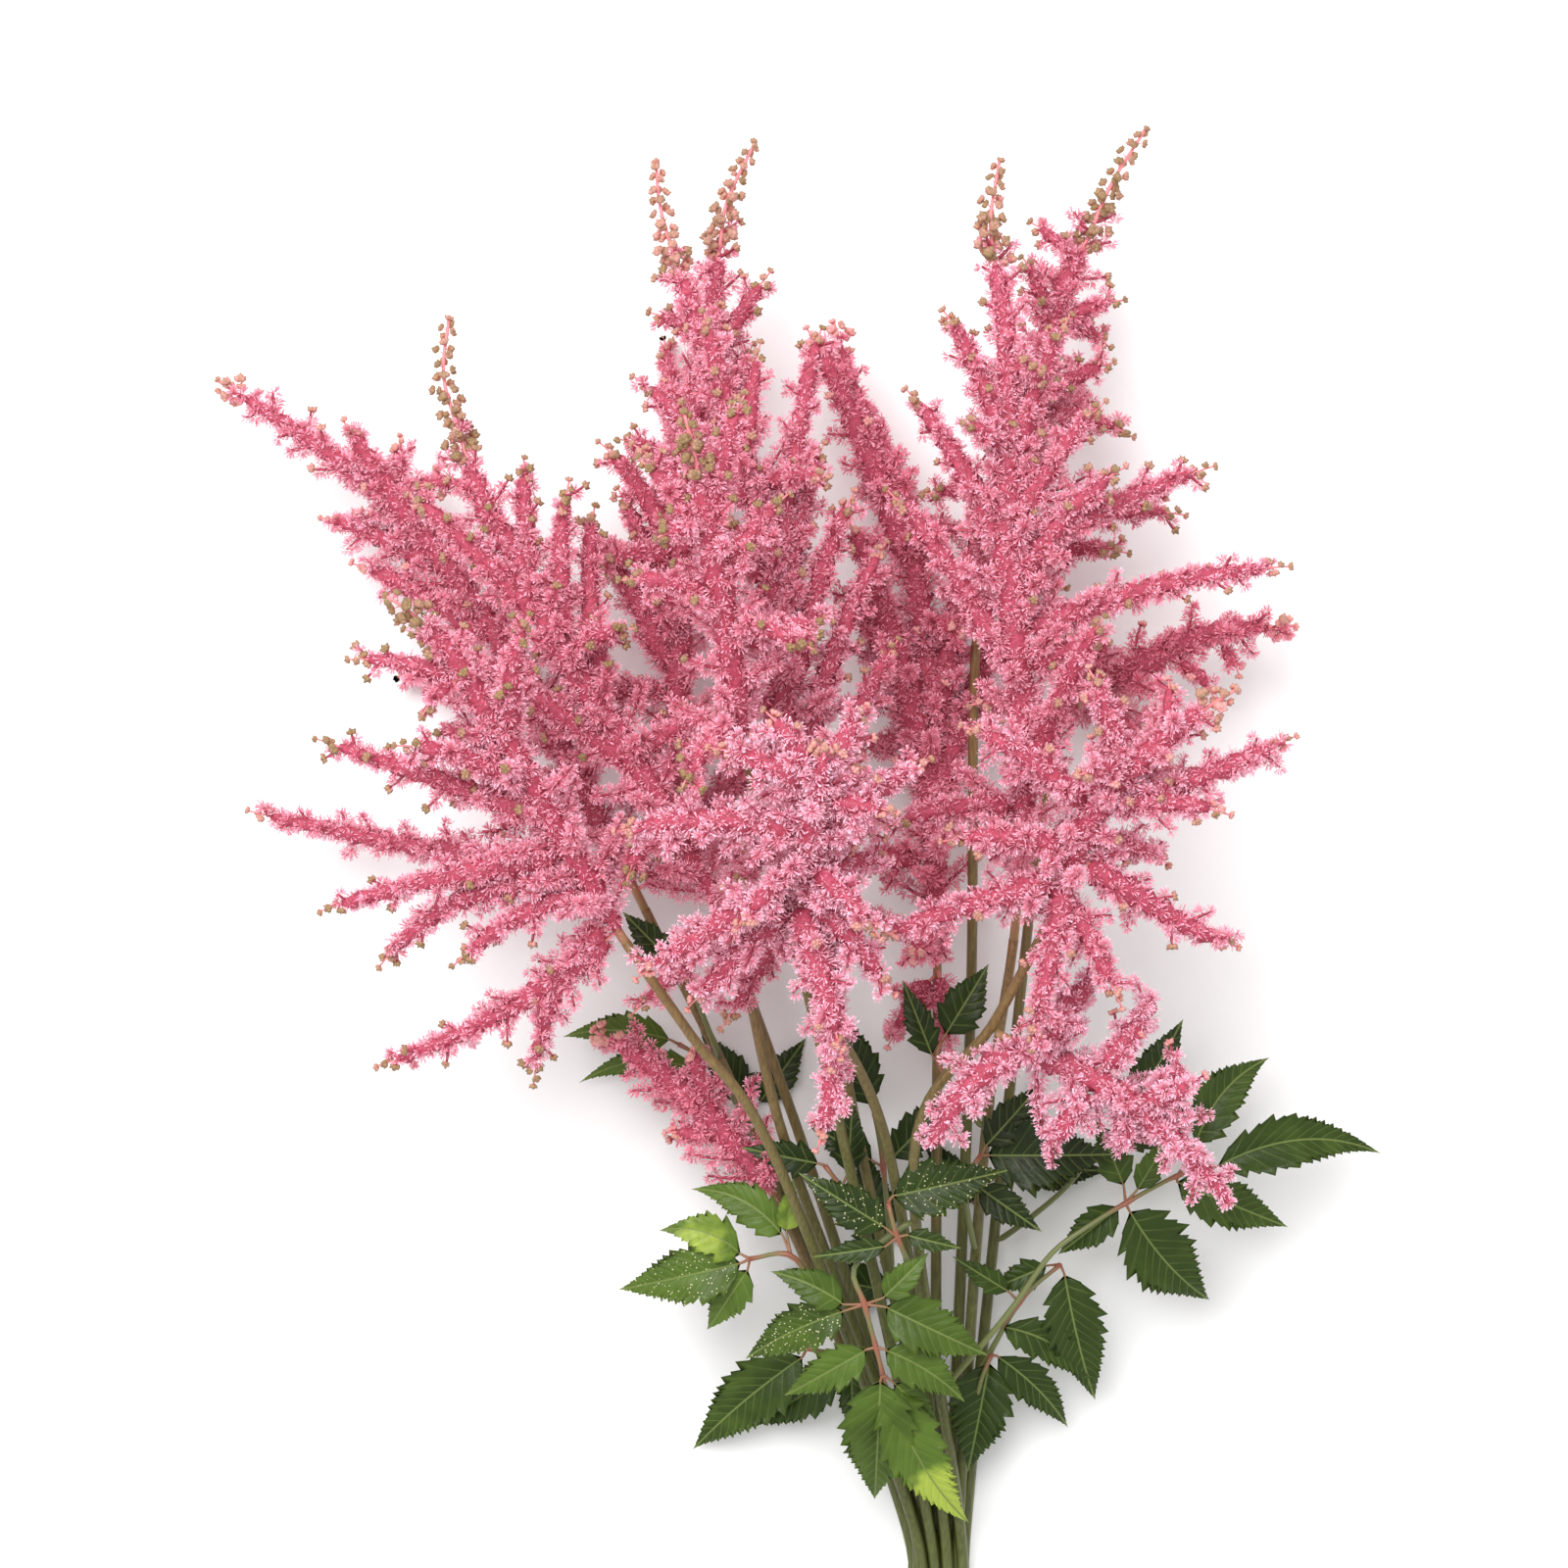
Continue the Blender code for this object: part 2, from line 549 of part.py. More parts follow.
class Room:
    """The room that is taken: balls along everything placed so far, each with its owner."""

    def __init__(self):
        self.centres = np.zeros((0, 3))
        self.radii = np.zeros(0)
        self.owners = np.zeros(0, int)

    def take(self, centres, radii, owner):
        spaced = np.linspace(0, len(centres) - 1, 3 * len(centres) - 2)
        number = np.arange(len(centres))
        balls = np.stack([np.interp(spaced, number, axis) for axis in centres.T], axis=-1)
        self.centres = np.vstack([self.centres, balls])
        self.radii = np.append(self.radii, np.interp(spaced, number, radii))
        self.owners = np.append(self.owners, np.full(len(spaced), owner))

    def clearance(self, centres, radii, mask):
        """The least distance from the branch to the balls that mask keeps."""
        apart = np.linalg.norm(centres[:, None] - self.centres[None, mask], axis=-1)
        return (apart - radii[:, None] - self.radii[None, mask]).min()

    def bare_above(self, centres):
        """How far the branch lies, on average and seen from above, outside everything placed so far."""
        apart = np.linalg.norm(centres[:, None, :2] - self.centres[None, :, :2], axis=-1)
        return np.clip((apart - self.radii).min(axis=1), 0, FLORET_PITCH).mean()


def best_branch(room, owner, route, start, share, spread):
    """The side branch at this share of the rachis that reaches furthest into free room."""
    place = start + share * (route.length - start)
    root = route.at(place)
    lean = route.direction(place)
    across = unit(np.cross(lean, (0.3, 0.2, 1)))
    over = np.cross(across, lean)
    others = room.owners != owner
    best, best_score = None, 0
    for turn in np.linspace(0, 2 * math.pi, TRIED_TURNS, endpoint=False):
        outward = math.cos(turn) * across + math.sin(turn) * over
        for rise in np.radians(TRIED_RISES):
            heading = math.cos(rise) * lean + math.sin(rise) * outward
            for reach in TRIED_REACHES:
                length = spread * (1 - share) ** SPREAD_TAPER * reach
                rings = branch_rings(root, lean, root + length * heading)
                centres, tall, _ = rings
                if (centres[1:, 2] - tall[1:]).min() < GAP:
                    continue
                if room.clearance(centres, tall, others) < GAP:
                    continue
                outer = len(centres) // 2
                own = room.clearance(centres[outer:], tall[outer:], ~others)
                bare = room.bare_above(centres[1:])
                score = length + APART_WEIGHT * min(own, APART_ENOUGH) + BARE_WEIGHT * bare
                if own > -OWN_OVERLAP and score > best_score:
                    best, best_score = rings, score
    return best


def leaflet(name, stalk, base, tip, width_share, bend):
    """A thin arched blade on its stalk. Its half width follows sin(pi * s ** skew) ** taper along the rib,
    and each edge runs from notch to tooth; both faces are split into triangles alike."""
    stalk, base, tip = (np.asarray(point, float) for point in (stalk, base, tip))
    length = np.linalg.norm(tip - base)
    along = (tip - base) / length
    normal = unit(np.array([0, 0, 1]) - along[2] * along)
    across = np.cross(along, normal)

    def rib(s):
        bow = length * 4 * s * (1 - s)
        return base + along * length * s + bow * (BLADE_ARCH * normal + bend * across)

    def edge(s, side, depth):
        half = 0.5 * width_share * length * math.sin(math.pi * s**BLADE_SKEW) ** BLADE_TAPER * depth
        half = max(half, STALK_HALF_WIDTH)
        return rib(s) + side * half * across + BLADE_KEEL * half * normal

    teeth = min(max(round(length / TOOTH_PITCH), FEWEST_TEETH), MOST_TEETH)
    ribs = [stalk] + [rib(s) for s in np.linspace(0, 1, teeth + 1)]
    points = list(ribs)
    faces = []
    rims = []
    for side in (-1, 1):
        first = len(points)
        points += [stalk + side * STALK_HALF_WIDTH * across, base + side * STALK_HALF_WIDTH * across]
        rim = [first, first + 1]
        faces += [(0, first, first + 1), (0, first + 1, 1)]
        for i in range(teeth):
            tooth = len(points)
            points.append(edge((i + TOOTH_PLACE) / teeth, side, 1))
            faces += [(i + 1, rim[-1], tooth), (i + 1, tooth, i + 2)]
            rim.append(tooth)
            if i < teeth - 1:
                points.append(edge((i + 1) / teeth, side, NOTCH_SHARE))
                faces.append((i + 2, tooth, tooth + 1))
                rim.append(tooth + 1)
        rims.append(rim)
    tip_point = len(ribs) - 1
    loop = [0] + rims[0] + [tip_point] + rims[1][::-1]
    count = len(points)
    points = np.array(points)
    upper = points + BLADE_HALF_THICKNESS * normal
    lower = points - BLADE_HALF_THICKNESS * normal
    faces += [tuple(corner + count for corner in face) for face in faces]
    for a, b in zip(loop, loop[1:] + loop[:1]):
        faces += [(a, b, b + count), (a, b + count, a + count)]
    return object_from(name, np.vstack([upper, lower]), faces)


def leaf_room(petiole, leaflets):
    """Lines with radii along petiole, ribs and blade halves: the room that a leaf takes."""
    lines = [(np.array(petiole), PETIOLE_RADIUS)]
    for stalk, base, tip, width_share, bend in leaflets:
        root, base, tip = (np.array(point, float) for point in (petiole[stalk], base, tip))
        length = np.linalg.norm(tip - base)
        across = unit(np.cross(tip - base, (0, 0, 1)))
        arched = base + (tip - base) * 0.5 + bend * length * across + np.array([0, 0, BLADE_ARCH * length])
        quarter = 0.25 * width_share * length
        lines.append((np.array([root, base, arched, tip]), PETIOLE_RADIUS))
        for side in (-1, 1):
            lines.append((np.array([base, arched + side * quarter * across, tip]), quarter / 2))
    return lines


def routes_and_roots():
    """Every stem and rachis, and the leaves and the side spray, which are rooted beside the stems."""
    routes = {}
    stems = {}
    for plume in PLUMES:
        name, rachis = plume["name"], plume["rachis"]
        if plume["slot"]:
            routes[name] = stem_and_rachis(plume["slot"], plume["via"], rachis)
            stems[name] = stem_line(*routes[name])
        else:
            (stem, y), *rest = rachis
            routes[name] = Route([root_beside(stems[stem][0], y, rest[0], STEM_TOP_RADIUS)] + rest), 0
    leaves = {}
    for name, ((stem, y), *rest, leaflets) in LEAVES.items():
        leaves[name] = [root_beside(stems[stem][0], y, rest[0], PETIOLE_RADIUS)] + rest, leaflets
    return routes, stems, leaves


def side_branches(routes, leaves):
    """The rings of each flower head's side branches: first those that are given, then, for each flower head
    in turn, one more at a share of the rachis that steps on by the golden ratio."""
    room = Room()
    for number, leaf in enumerate(leaves.values()):
        for line, radius in leaf_room(*leaf):
            fine = Route(line)
            centres = fine.at(np.arange(0, fine.length, ROOM_STEP))
            room.take(centres, np.full(len(centres), radius), -1 - number)
    branches = {}
    for number, plume in enumerate(PLUMES):
        route, start = routes[plume["name"]]
        centres = route.at(np.arange(0, start, ROOM_STEP))
        if start:
            room.take(centres, np.full(len(centres), STEM_RADIUS), len(PLUMES) + number)
        centres, tall, _ = rachis_rings(route, start)
        room.take(centres, tall, number)
        branches[plume["name"]] = sides = []
        for share, tip, *pull in plume["branches"]:
            place = start + share * (route.length - start)
            rings = branch_rings(route.at(place), route.direction(place), np.array(tip, float), *pull)
            sides.append(rings)
            room.take(rings[0], rings[1], number)
    for turn in range(max(plume["more"] for plume in PLUMES)):
        for number, plume in enumerate(PLUMES):
            if turn >= plume["more"]:
                continue
            share = LOWEST_SHARE + SHARE_SPAN * ((turn * GOLDEN + number * PLUME_SHIFT) % 1)
            rings = best_branch(room, number, *routes[plume["name"]], share, plume["spread"])
            if rings:
                branches[plume["name"]].append(rings)
                room.take(rings[0], rings[1], number)
    return branches


def build():
    for obj in list(bpy.data.objects):
        bpy.data.objects.remove(obj)
    home = bpy.data.collections.new("astilbe_bunch")
    bpy.context.scene.collection.children.link(home)
    routes, stems, leaves = routes_and_roots()
    branches = side_branches(routes, leaves)
    for name, (centres, radii) in stems.items():
        stem = plain_tube("stem_" + name, centres, radii, STEM_CORNERS)
        stem.data.materials.append(finish("stem_" + name, STEM_COLOUR, STEM_ROUGHNESS))
        home.objects.link(stem)
    for name, route in routes.items():
        shapes = [relief_tube("rachis", *rachis_rings(*route))]
        shapes += [relief_tube("branch", *rings) for rings in branches[name]]
        fused("plume_" + name, shapes, finish("plume_" + name, PETAL_COLOUR, PETAL_ROUGHNESS), home)
    for name, (petiole, leaflets) in leaves.items():
        radii = np.linspace(PETIOLE_RADIUS, PETIOLE_TIP_RADIUS, len(petiole))
        shapes = [plain_tube("petiole", petiole, radii, PETIOLE_CORNERS)]
        shapes += [leaflet("leaflet", petiole[stalk], *blade) for stalk, *blade in leaflets]
        fused(name, shapes, finish(name, LEAF_COLOUR, LEAF_ROUGHNESS), home)


build()
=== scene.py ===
"""The looks of a bunch of cut astilbe that lies on a pale floor, flowers to +Y, seen from straight above."""
import math

import bpy
import numpy as np
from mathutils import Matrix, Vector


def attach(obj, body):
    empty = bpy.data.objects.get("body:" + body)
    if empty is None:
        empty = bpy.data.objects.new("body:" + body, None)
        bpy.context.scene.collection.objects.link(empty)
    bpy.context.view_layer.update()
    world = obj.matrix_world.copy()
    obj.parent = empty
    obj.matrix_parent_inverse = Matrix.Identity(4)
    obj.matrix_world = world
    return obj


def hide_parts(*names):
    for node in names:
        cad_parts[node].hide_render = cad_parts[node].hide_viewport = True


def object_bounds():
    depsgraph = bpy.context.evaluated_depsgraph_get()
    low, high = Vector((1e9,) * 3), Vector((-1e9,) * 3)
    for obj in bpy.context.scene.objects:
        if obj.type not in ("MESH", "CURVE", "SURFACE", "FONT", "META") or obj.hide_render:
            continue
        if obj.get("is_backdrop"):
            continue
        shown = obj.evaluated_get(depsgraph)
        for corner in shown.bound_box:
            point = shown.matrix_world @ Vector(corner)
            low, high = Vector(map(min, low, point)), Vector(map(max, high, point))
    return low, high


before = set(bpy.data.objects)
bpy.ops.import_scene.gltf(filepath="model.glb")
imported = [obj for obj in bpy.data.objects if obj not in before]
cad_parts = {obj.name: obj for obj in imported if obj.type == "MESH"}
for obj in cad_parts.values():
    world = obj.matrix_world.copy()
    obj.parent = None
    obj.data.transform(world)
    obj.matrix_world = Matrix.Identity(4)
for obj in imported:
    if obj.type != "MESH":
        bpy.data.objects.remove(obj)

cad_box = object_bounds()

# The camera looks straight down on the bunch from two and a half metres, with +Y to the top of the picture.
CAMERA_PLACE = (-0.006, 0.062, 2.52)
HALF_VIEW = 0.336 / 2.4

view_from = bpy.data.cameras.new("camera")
view_from.angle = 2 * math.atan(HALF_VIEW)
camera = bpy.data.objects.new("camera", view_from)
camera.location = CAMERA_PLACE
bpy.context.scene.collection.objects.link(camera)
bpy.context.scene.camera = camera
bpy.context.scene.view_settings.view_transform = "Standard"

# The stems: thirteen ridged green stalks, cut square at the foot and laid together in three rows. Each runs
# on without a joint into the rachis of its own flower head, and turns from olive green to reddish on the way.
MM = 0.001
STEM_RADIUS = 2.6
STEM_TOP_RADIUS = 2.1
STEM_PITCH = 7.0
BUNDLE_X = 62
CUT_END_Y = -352
BUNDLE_TOP_Y = -268
ROW_HEIGHTS = (2.38, 7.7, 13.5)
STEM_CORNERS = 15
STEM_RIDGES = 5
RIDGE_DEPTH = 0.07
STEM_STEP = 7
STEM_OVERRUN = 3
STEM_GREENS = [(0, (0.72, 0.70, 0.48)), (0.004, (0.42, 0.46, 0.20)), (0.012, (0.085, 0.105, 0.022)),
               (0.55, (0.105, 0.105, 0.026)), (1, (0.22, 0.120, 0.045))]
STREAK_STRETCH = (900, 40, 900)

# Each flower head, in millimetres: its stem's column and row in the bundle; how many side branches it finds
# for itself and how long those may be at its base; how long the spike of buds at its tip is, how brown its
# buds and how pale its petals are, a paleness that is partly painted light and shade, lower for the heads
# that lie low and behind; how full its branches are; the points that the stem passes; its rachis from base
# to tip; and the side branches that are given, as (share of the rachis, tip, how far the middle is pulled off
# the straight line where it doesn't just arch out).
PLUMES = {
    "far_left": dict(
        slot=(-2, 0), more=4, spread=62, buds=14, brown=0.35, pale=0.42, full=1.1,
        via=[(-12, -110, 22)],
        rachis=[(-66, 4, 52), (-84, 40, 56), (-109, 88, 58), (-135, 131, 56), (-166, 172, 54),
                (-188, 193, 52), (-217, 215, 50), (-256, 240, 46)],
        branches=[(0.62, (-199, 221, 66)), (0.56, (-211, 180, 38)), (0.44, (-196, 159, 54)),
                  (0.06, (-244, 50, 30), (3, -6, 0)), (0.34, (-180, 110, -1)), (0.66, (-176, 216, 36))],
    ),
    "left": dict(
        slot=(-0.5, 1), more=4, spread=66, buds=66, brown=0.85, pale=0.4, full=1,
        via=[(-4, -100, 62)],
        rachis=[(-26, -8, 96), (-44, 26, 104), (-64, 62, 110), (-101, 119, 114), (-117, 152, 113),
                (-136, 184, 110), (-146, 214, 106), (-153, 238, 102), (-151, 263, 98)],
        branches=[(0.58, (-118, 202, 108)), (0.48, (-98, 192, 120)), (0.38, (-88, 182, 96)),
                  (0.52, (-167, 186, 120)), (0.28, (-168, 128, 130)), (0.04, (-72, -38, 100), (0, 0, 0))],
    ),
    "left_front": dict(
        slot=(-1.5, 2), more=3, spread=66, buds=22, brown=0.9, pale=0.5, full=1,
        via=[(-10, -100, 92), (-46, -46, 118)],
        rachis=[(-72, -8, 132), (-86, 16, 142), (-102, 43, 152), (-125, 83, 168), (-147, 119, 182),
                (-161, 133, 190), (-171, 140, 194)],
        branches=[(0.72, (-188, 114, 180)), (0.36, (-203, 81, 160), (0, 0, 0)), (0.44, (-168, 78, 190)),
                  (0.26, (-203, 8, 140), (-3, 4, 0)), (0.2, (-179, -16, 124), (-13, 20, 4)),
                  (0.16, (-146, -15, 146), (-6, 9, 2)), (0.05, (-182, -60, 98), (6, -11, -2)),
                  (0.07, (-114, -68, 104), (-12, 18, 3)), (0.55, (-112, 132, 196))],
    ),
    "centre_left": dict(
        slot=(-1, 0), more=5, spread=72, buds=56, brown=0.7, pale=0.3, full=1,
        via=[(6, -110, 26)],
        rachis=[(-34, 4, 46), (-44, 46, 52), (-52, 84, 58), (-52, 148, 62), (-49, 191, 64), (-44, 234, 64),
                (-38, 268, 63), (-34, 299, 62), (-31, 318, 60), (-19, 344, 56)],
        branches=[(0.66, (-12, 286, 70)), (0.46, (-87, 212, 60)), (0.52, (-20, 258, 20)),
                  (0.5, (-60, 262, -1)), (0.3, (-96, 178, 66)), (0.34, (-79, 192, 56))],
    ),
    "centre": dict(
        slot=(0.5, 1), more=4, spread=74, buds=52, brown=0.6, pale=0.42, full=1,
        via=[(26, -90, 58)],
        rachis=[(10, 6, 94), (2, 52, 106), (-6, 96, 116), (-14, 169, 124), (-24, 202, 126), (-33, 230, 126),
                (-43, 259, 124), (-51, 282, 122), (-59, 309, 118), (-61, 329, 114)],
        branches=[(0.4, (10, 258, 112)), (0.58, (-16, 250, 132)), (0.52, (-70, 236, 128)),
                  (0.42, (-70, 206, 146)), (0.26, (24, 187, 130)), (0.6, (-40, 262, 148)),
                  (0.04, (-33, -43, 110), (0, 0, 0)), (0.36, (11, 208, 118)), (0.18, (38, 166, 112)),
                  (0.08, (43, 124, 112))],
    ),
    "centre_front": dict(
        slot=(-0.5, 2), more=3, spread=62, buds=30, brown=1.0, pale=0.48, full=1,
        via=[(12, -60, 106)],
        rachis=[(-22, 74, 170), (-27, 107, 182), (-32, 139, 196), (-38, 171, 210), (-43, 199, 222),
                (-47, 214, 228)],
        branches=[(0.66, (-22, 222, 224)), (0.62, (-66, 196, 214)), (0.46, (-74, 146, 208)),
                  (0.3, (14, 130, 186)), (0.5, (-4, 182, 206))],
    ),
    "front": dict(
        slot=(0.5, 2), more=3, spread=56, buds=5, brown=0.4, pale=0.8, full=1.25,
        via=[(40, -100, 82), (10, -30, 136)],
        rachis=[(-1, 9, 172), (3, 31, 194), (7, 52, 214), (9, 66, 228), (11, 77, 238)],
        branches=[(0.75, (-37, 77, 214)), (0.5, (-76, 42, 188)), (0.8, (-14, 92, 232)),
                  (0.78, (28, 94, 222)), (0.66, (40, 50, 222)), (0.42, (55, 72, 196)),
                  (0.34, (-26, 2, 204)), (0.3, (34, -2, 206)), (0.14, (40, -26, 180)),
                  (0.08, (18, -52, 192)), (0.12, (8, -92, 164), (22, 0, 0)), (0.12, (-68, -20, 166)),
                  (0.1, (-47, -33, 150), (0, 0, 0))],
    ),
    "back": dict(
        slot=(0, 0), more=6, spread=60, buds=12, brown=0.15, pale=0.2, full=1.25,
        via=[(62, -120, 20)],
        rachis=[(62, -28, 36), (61, 18, 42), (59, 66, 48), (54, 140, 52), (48, 176, 52), (39, 205, 50),
                (25, 235, 48), (16, 266, 44)],
        branches=[(0.6, (4, 262, 62)), (0.26, (92, 134, 46)), (0.36, (18, 150, 60)), (0.34, (82, 178, 60)),
                  (0.3, (22, 178, 84)), (0.02, (40, -54, 44), (0, 6, 4)), (0.03, (68, -56, 46), (0, 4, 6))],
    ),
    "right": dict(
        slot=(1.5, 1), more=5, spread=74, buds=46, brown=0.75, pale=0.46, full=1,
        via=[(82, -100, 56)],
        rachis=[(93, -8, 100), (95, 30, 112), (97, 70, 124), (92, 133, 134), (89, 166, 138), (89, 208, 138),
                (89, 250, 136), (85, 278, 134), (82, 301, 132), (86, 328, 128)],
        branches=[(0.64, (62, 264, 130)), (0.5, (46, 230, 136)), (0.52, (130, 224, 146)),
                  (0.46, (138, 196, 152)), (0.5, (178, 198, 126), (-2, 5, 0)),
                  (0.4, (210, 155, 128), (0, 12, 2)), (0.2, (128, 132, 176)), (0.34, (38, 188, 122)),
                  (0.6, (116, 262, 136))],
    ),
    "right_back": dict(
        slot=(1, 0), more=5, spread=66, buds=62, brown=0.85, pale=0.36, full=1,
        via=[(77, -40, 30)],
        rachis=[(78, 120, 64), (88, 148, 64), (97, 182, 64), (104, 221, 64), (109, 255, 64), (117, 281, 64),
                (128, 303, 62), (138, 326, 60), (153, 350, 56)],
        branches=[(0.6, (143, 274, 66)), (0.6, (98, 292, 76)), (0.46, (138, 246, 76)),
                  (0.22, (170, 180, 62)), (0.44, (130, 232, -1))],
    ),
    "right_front": dict(
        slot=(1.5, 2), more=3, spread=60, buds=18, brown=0.5, pale=0.6, full=1.15,
        via=[(50, -100, 104), (84, -40, 126)],
        rachis=[(108, 8, 152), (116, 33, 164), (129, 58, 176), (149, 78, 188), (167, 92, 196),
                (181, 101, 202)],
        branches=[(0.38, (208, 82, 176), (2, -4, 0)), (0.4, (180, 49, 184)),
                  (0.22, (186, -7, 150), (4, -9, 0)), (0.36, (68, 86, 186)), (0.22, (60, 38, 178)),
                  (0.12, (32, -3, 176), (0, 4, 0)), (0.08, (136, -32, 166), (0, 6, 0)),
                  (0.14, (98, -50, 160)), (0.5, (120, 110, 200))],
    ),
    "far_right": dict(
        slot=(2, 0), more=4, spread=52, buds=12, brown=0.25, pale=0.15, full=1,
        via=[(96, -60, 30)],
        rachis=[(113, 79, 48), (130, 104, 48), (154, 116, 47), (185, 129, 45), (220, 132, 42)],
        branches=[(0.25, (150, 76, 50)), (0.2, (170, 56, -1)), (0.3, (112, 126, 40))],
    ),
    "side_spray": dict(
        slot=None, more=3, spread=46, buds=0, brown=0.2, pale=0.97, full=1.5,
        via=[],
        rachis=[("right_front", -42), (108, -56, 132), (128, -65, 136), (157, -86, 134), (185, -117, 126)],
        branches=[(0.14, (57, -92, 132), (-8, 14, 16)), (0.35, (150, -28, 140)), (0.5, (164, -66, 153)),
                  (0.15, (112, -34, 148)), (0.45, (139, -95, 119))],
    ),
    "low_left": dict(
        slot=(-1.5, 1), more=1, spread=34, buds=10, brown=0.2, pale=0.25, full=1.15,
        via=[(12, -170, 26)],
        rachis=[(-9, -122, 52), (-23, -103, 52), (-43, -81, 51), (-62, -64, 50), (-90, -47, 48)],
        branches=[(0.3, (-58, -92, 48)), (0.4, (-46, -52, 54))],
    ),
}


class Route:
    """A Catmull-Rom curve through the given points: on each run b to c it is b + ((c - a) u
    + (2a - 5b + 4c - d) u^2 + (3b - a - 3c + d) u^3) / 2, read by the length along it."""

    PER_RUN = 16

    def __init__(self, points):
        points = np.asarray(points, float)
        ends = np.vstack([2 * points[0] - points[1], points, 2 * points[-1] - points[-2]])
        u = np.linspace(0, 1, self.PER_RUN + 1)[:-1, None]
        runs = [
            b + 0.5 * ((c - a) * u + (2 * a - 5 * b + 4 * c - d) * u**2 + (3 * b - a - 3 * c + d) * u**3)
            for a, b, c, d in zip(ends, ends[1:], ends[2:], ends[3:])
        ]
        self.fine = np.vstack(runs + [points[-1:]])
        steps = np.linalg.norm(np.diff(self.fine, axis=0), axis=1)
        self.along = np.append(0, np.cumsum(steps))
        self.length = self.along[-1]

    def length_to(self, point_number):
        return self.along[self.PER_RUN * point_number]

    def at(self, lengths):
        return read_off(self.fine, self.along, lengths)

    def direction(self, length):
        ahead = self.at(min(length + 2, self.length)) - self.at(max(length - 2, 0))
        return ahead / np.linalg.norm(ahead)


def read_off(line, known, wanted):
    """The points of a line at the wanted places, where its own points lie at the known ones."""
    return np.stack([np.interp(wanted, known, axis) for axis in line.T], axis=-1)


def unit(vectors):
    """Each vector divided by its length."""
    return vectors / np.linalg.norm(vectors, axis=-1, keepdims=True)


def circle(corners):
    """The angles 2 pi j / corners."""
    return np.arange(corners) * 2 * math.pi / corners


def swing(angles, first, second):
    """cos(angle) first + sin(angle) second, for each angle."""
    return np.cos(angles)[..., None] * first + np.sin(angles)[..., None] * second


def stem_route(slot, via, rachis):
    """The one curve that a stem and its rachis share, and the length at which the rachis starts."""
    column, row = slot
    x = BUNDLE_X + column * STEM_PITCH
    z = ROW_HEIGHTS[row]
    straight = [(x, y, z) for y in (CUT_END_Y, (CUT_END_Y + BUNDLE_TOP_Y) / 2, BUNDLE_TOP_Y)]
    route = Route(straight + via + rachis)
    return route, route.length_to(len(straight) + len(via))


def swept(lines, radii, corners, ragged=1):
    """Closed tubes round N lines of K points, given as N x K x 3 with N x K radii. A ring is
    centre + r ragged (cos t side + sin t upright), where ragged may differ from corner to corner, and each
    end closes on its centre. Gives points, triangles, and how far along its tube each point lies, 0 to 1."""
    count, rings, _ = lines.shape
    along = unit(np.gradient(lines, axis=1))
    reference = np.eye(3)[np.argmin(np.abs(lines[:, -1] - lines[:, 0]), axis=1)][:, None]
    side = unit(np.cross(along, reference))
    upright = np.cross(side, along)
    around = swing(circle(corners), side[:, :, None], upright[:, :, None])
    skin = lines[:, :, None] + (radii[..., None] * ragged)[..., None] * around
    points = np.concatenate([skin.reshape(count, -1, 3), lines[:, :1], lines[:, -1:]], axis=1)
    ring, corner = np.meshgrid(np.arange(rings - 1), np.arange(corners), indexing="ij")
    a = (ring * corners + corner).ravel()
    b = (ring * corners + (corner + 1) % corners).ravel()
    j = np.arange(corners)
    k = (j + 1) % corners
    last = (rings - 1) * corners
    faces = np.concatenate([
        np.stack([a, a + corners, b], 1),
        np.stack([b, a + corners, b + corners], 1),
        np.stack([j, k, np.full(corners, rings * corners)], 1),
        np.stack([last + k, last + j, np.full(corners, rings * corners + 1)], 1),
    ])
    shares = np.append(np.repeat(np.linspace(0, 1, rings), corners), (0, 1))
    every = (faces[None] + np.arange(count)[:, None, None] * points.shape[1]).reshape(-1, 3)
    return points.reshape(-1, 3), every, np.tile(shares, count)


def skin_of(name, points, triangles, materials, smooth=True, **values):
    """A mesh object from points in millimetres, none below the floor, and its triangles. Each value is one
    number per point, stored as an attribute that the materials read."""
    points = np.array(points, float)
    points[:, 2] = np.maximum(points[:, 2], 0)
    mesh = bpy.data.meshes.new(name)
    mesh.vertices.add(len(points))
    mesh.vertices.foreach_set("co", (points * MM).astype(np.float32).ravel())
    mesh.loops.add(3 * len(triangles))
    mesh.loops.foreach_set("vertex_index", triangles.astype(np.int32).ravel())
    mesh.polygons.add(len(triangles))
    mesh.polygons.foreach_set("loop_start", np.arange(0, 3 * len(triangles), 3, dtype=np.int32))
    mesh.polygons.foreach_set("use_smooth", np.full(len(triangles), smooth))
    for key, numbers in values.items():
        attribute = mesh.attributes.new(key, "FLOAT", "POINT")
        attribute.data.foreach_set("value", np.asarray(numbers, np.float32))
    for material in materials:
        mesh.materials.append(material)
    mesh.update(calc_edges=True)
    piece = bpy.data.objects.new(name, mesh)
    bpy.context.scene.collection.objects.link(piece)
    return piece


def stands_for(piece, node):
    """The piece rides with the bunch and is shown in place of the node."""
    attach(piece, "root")
    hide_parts(node)


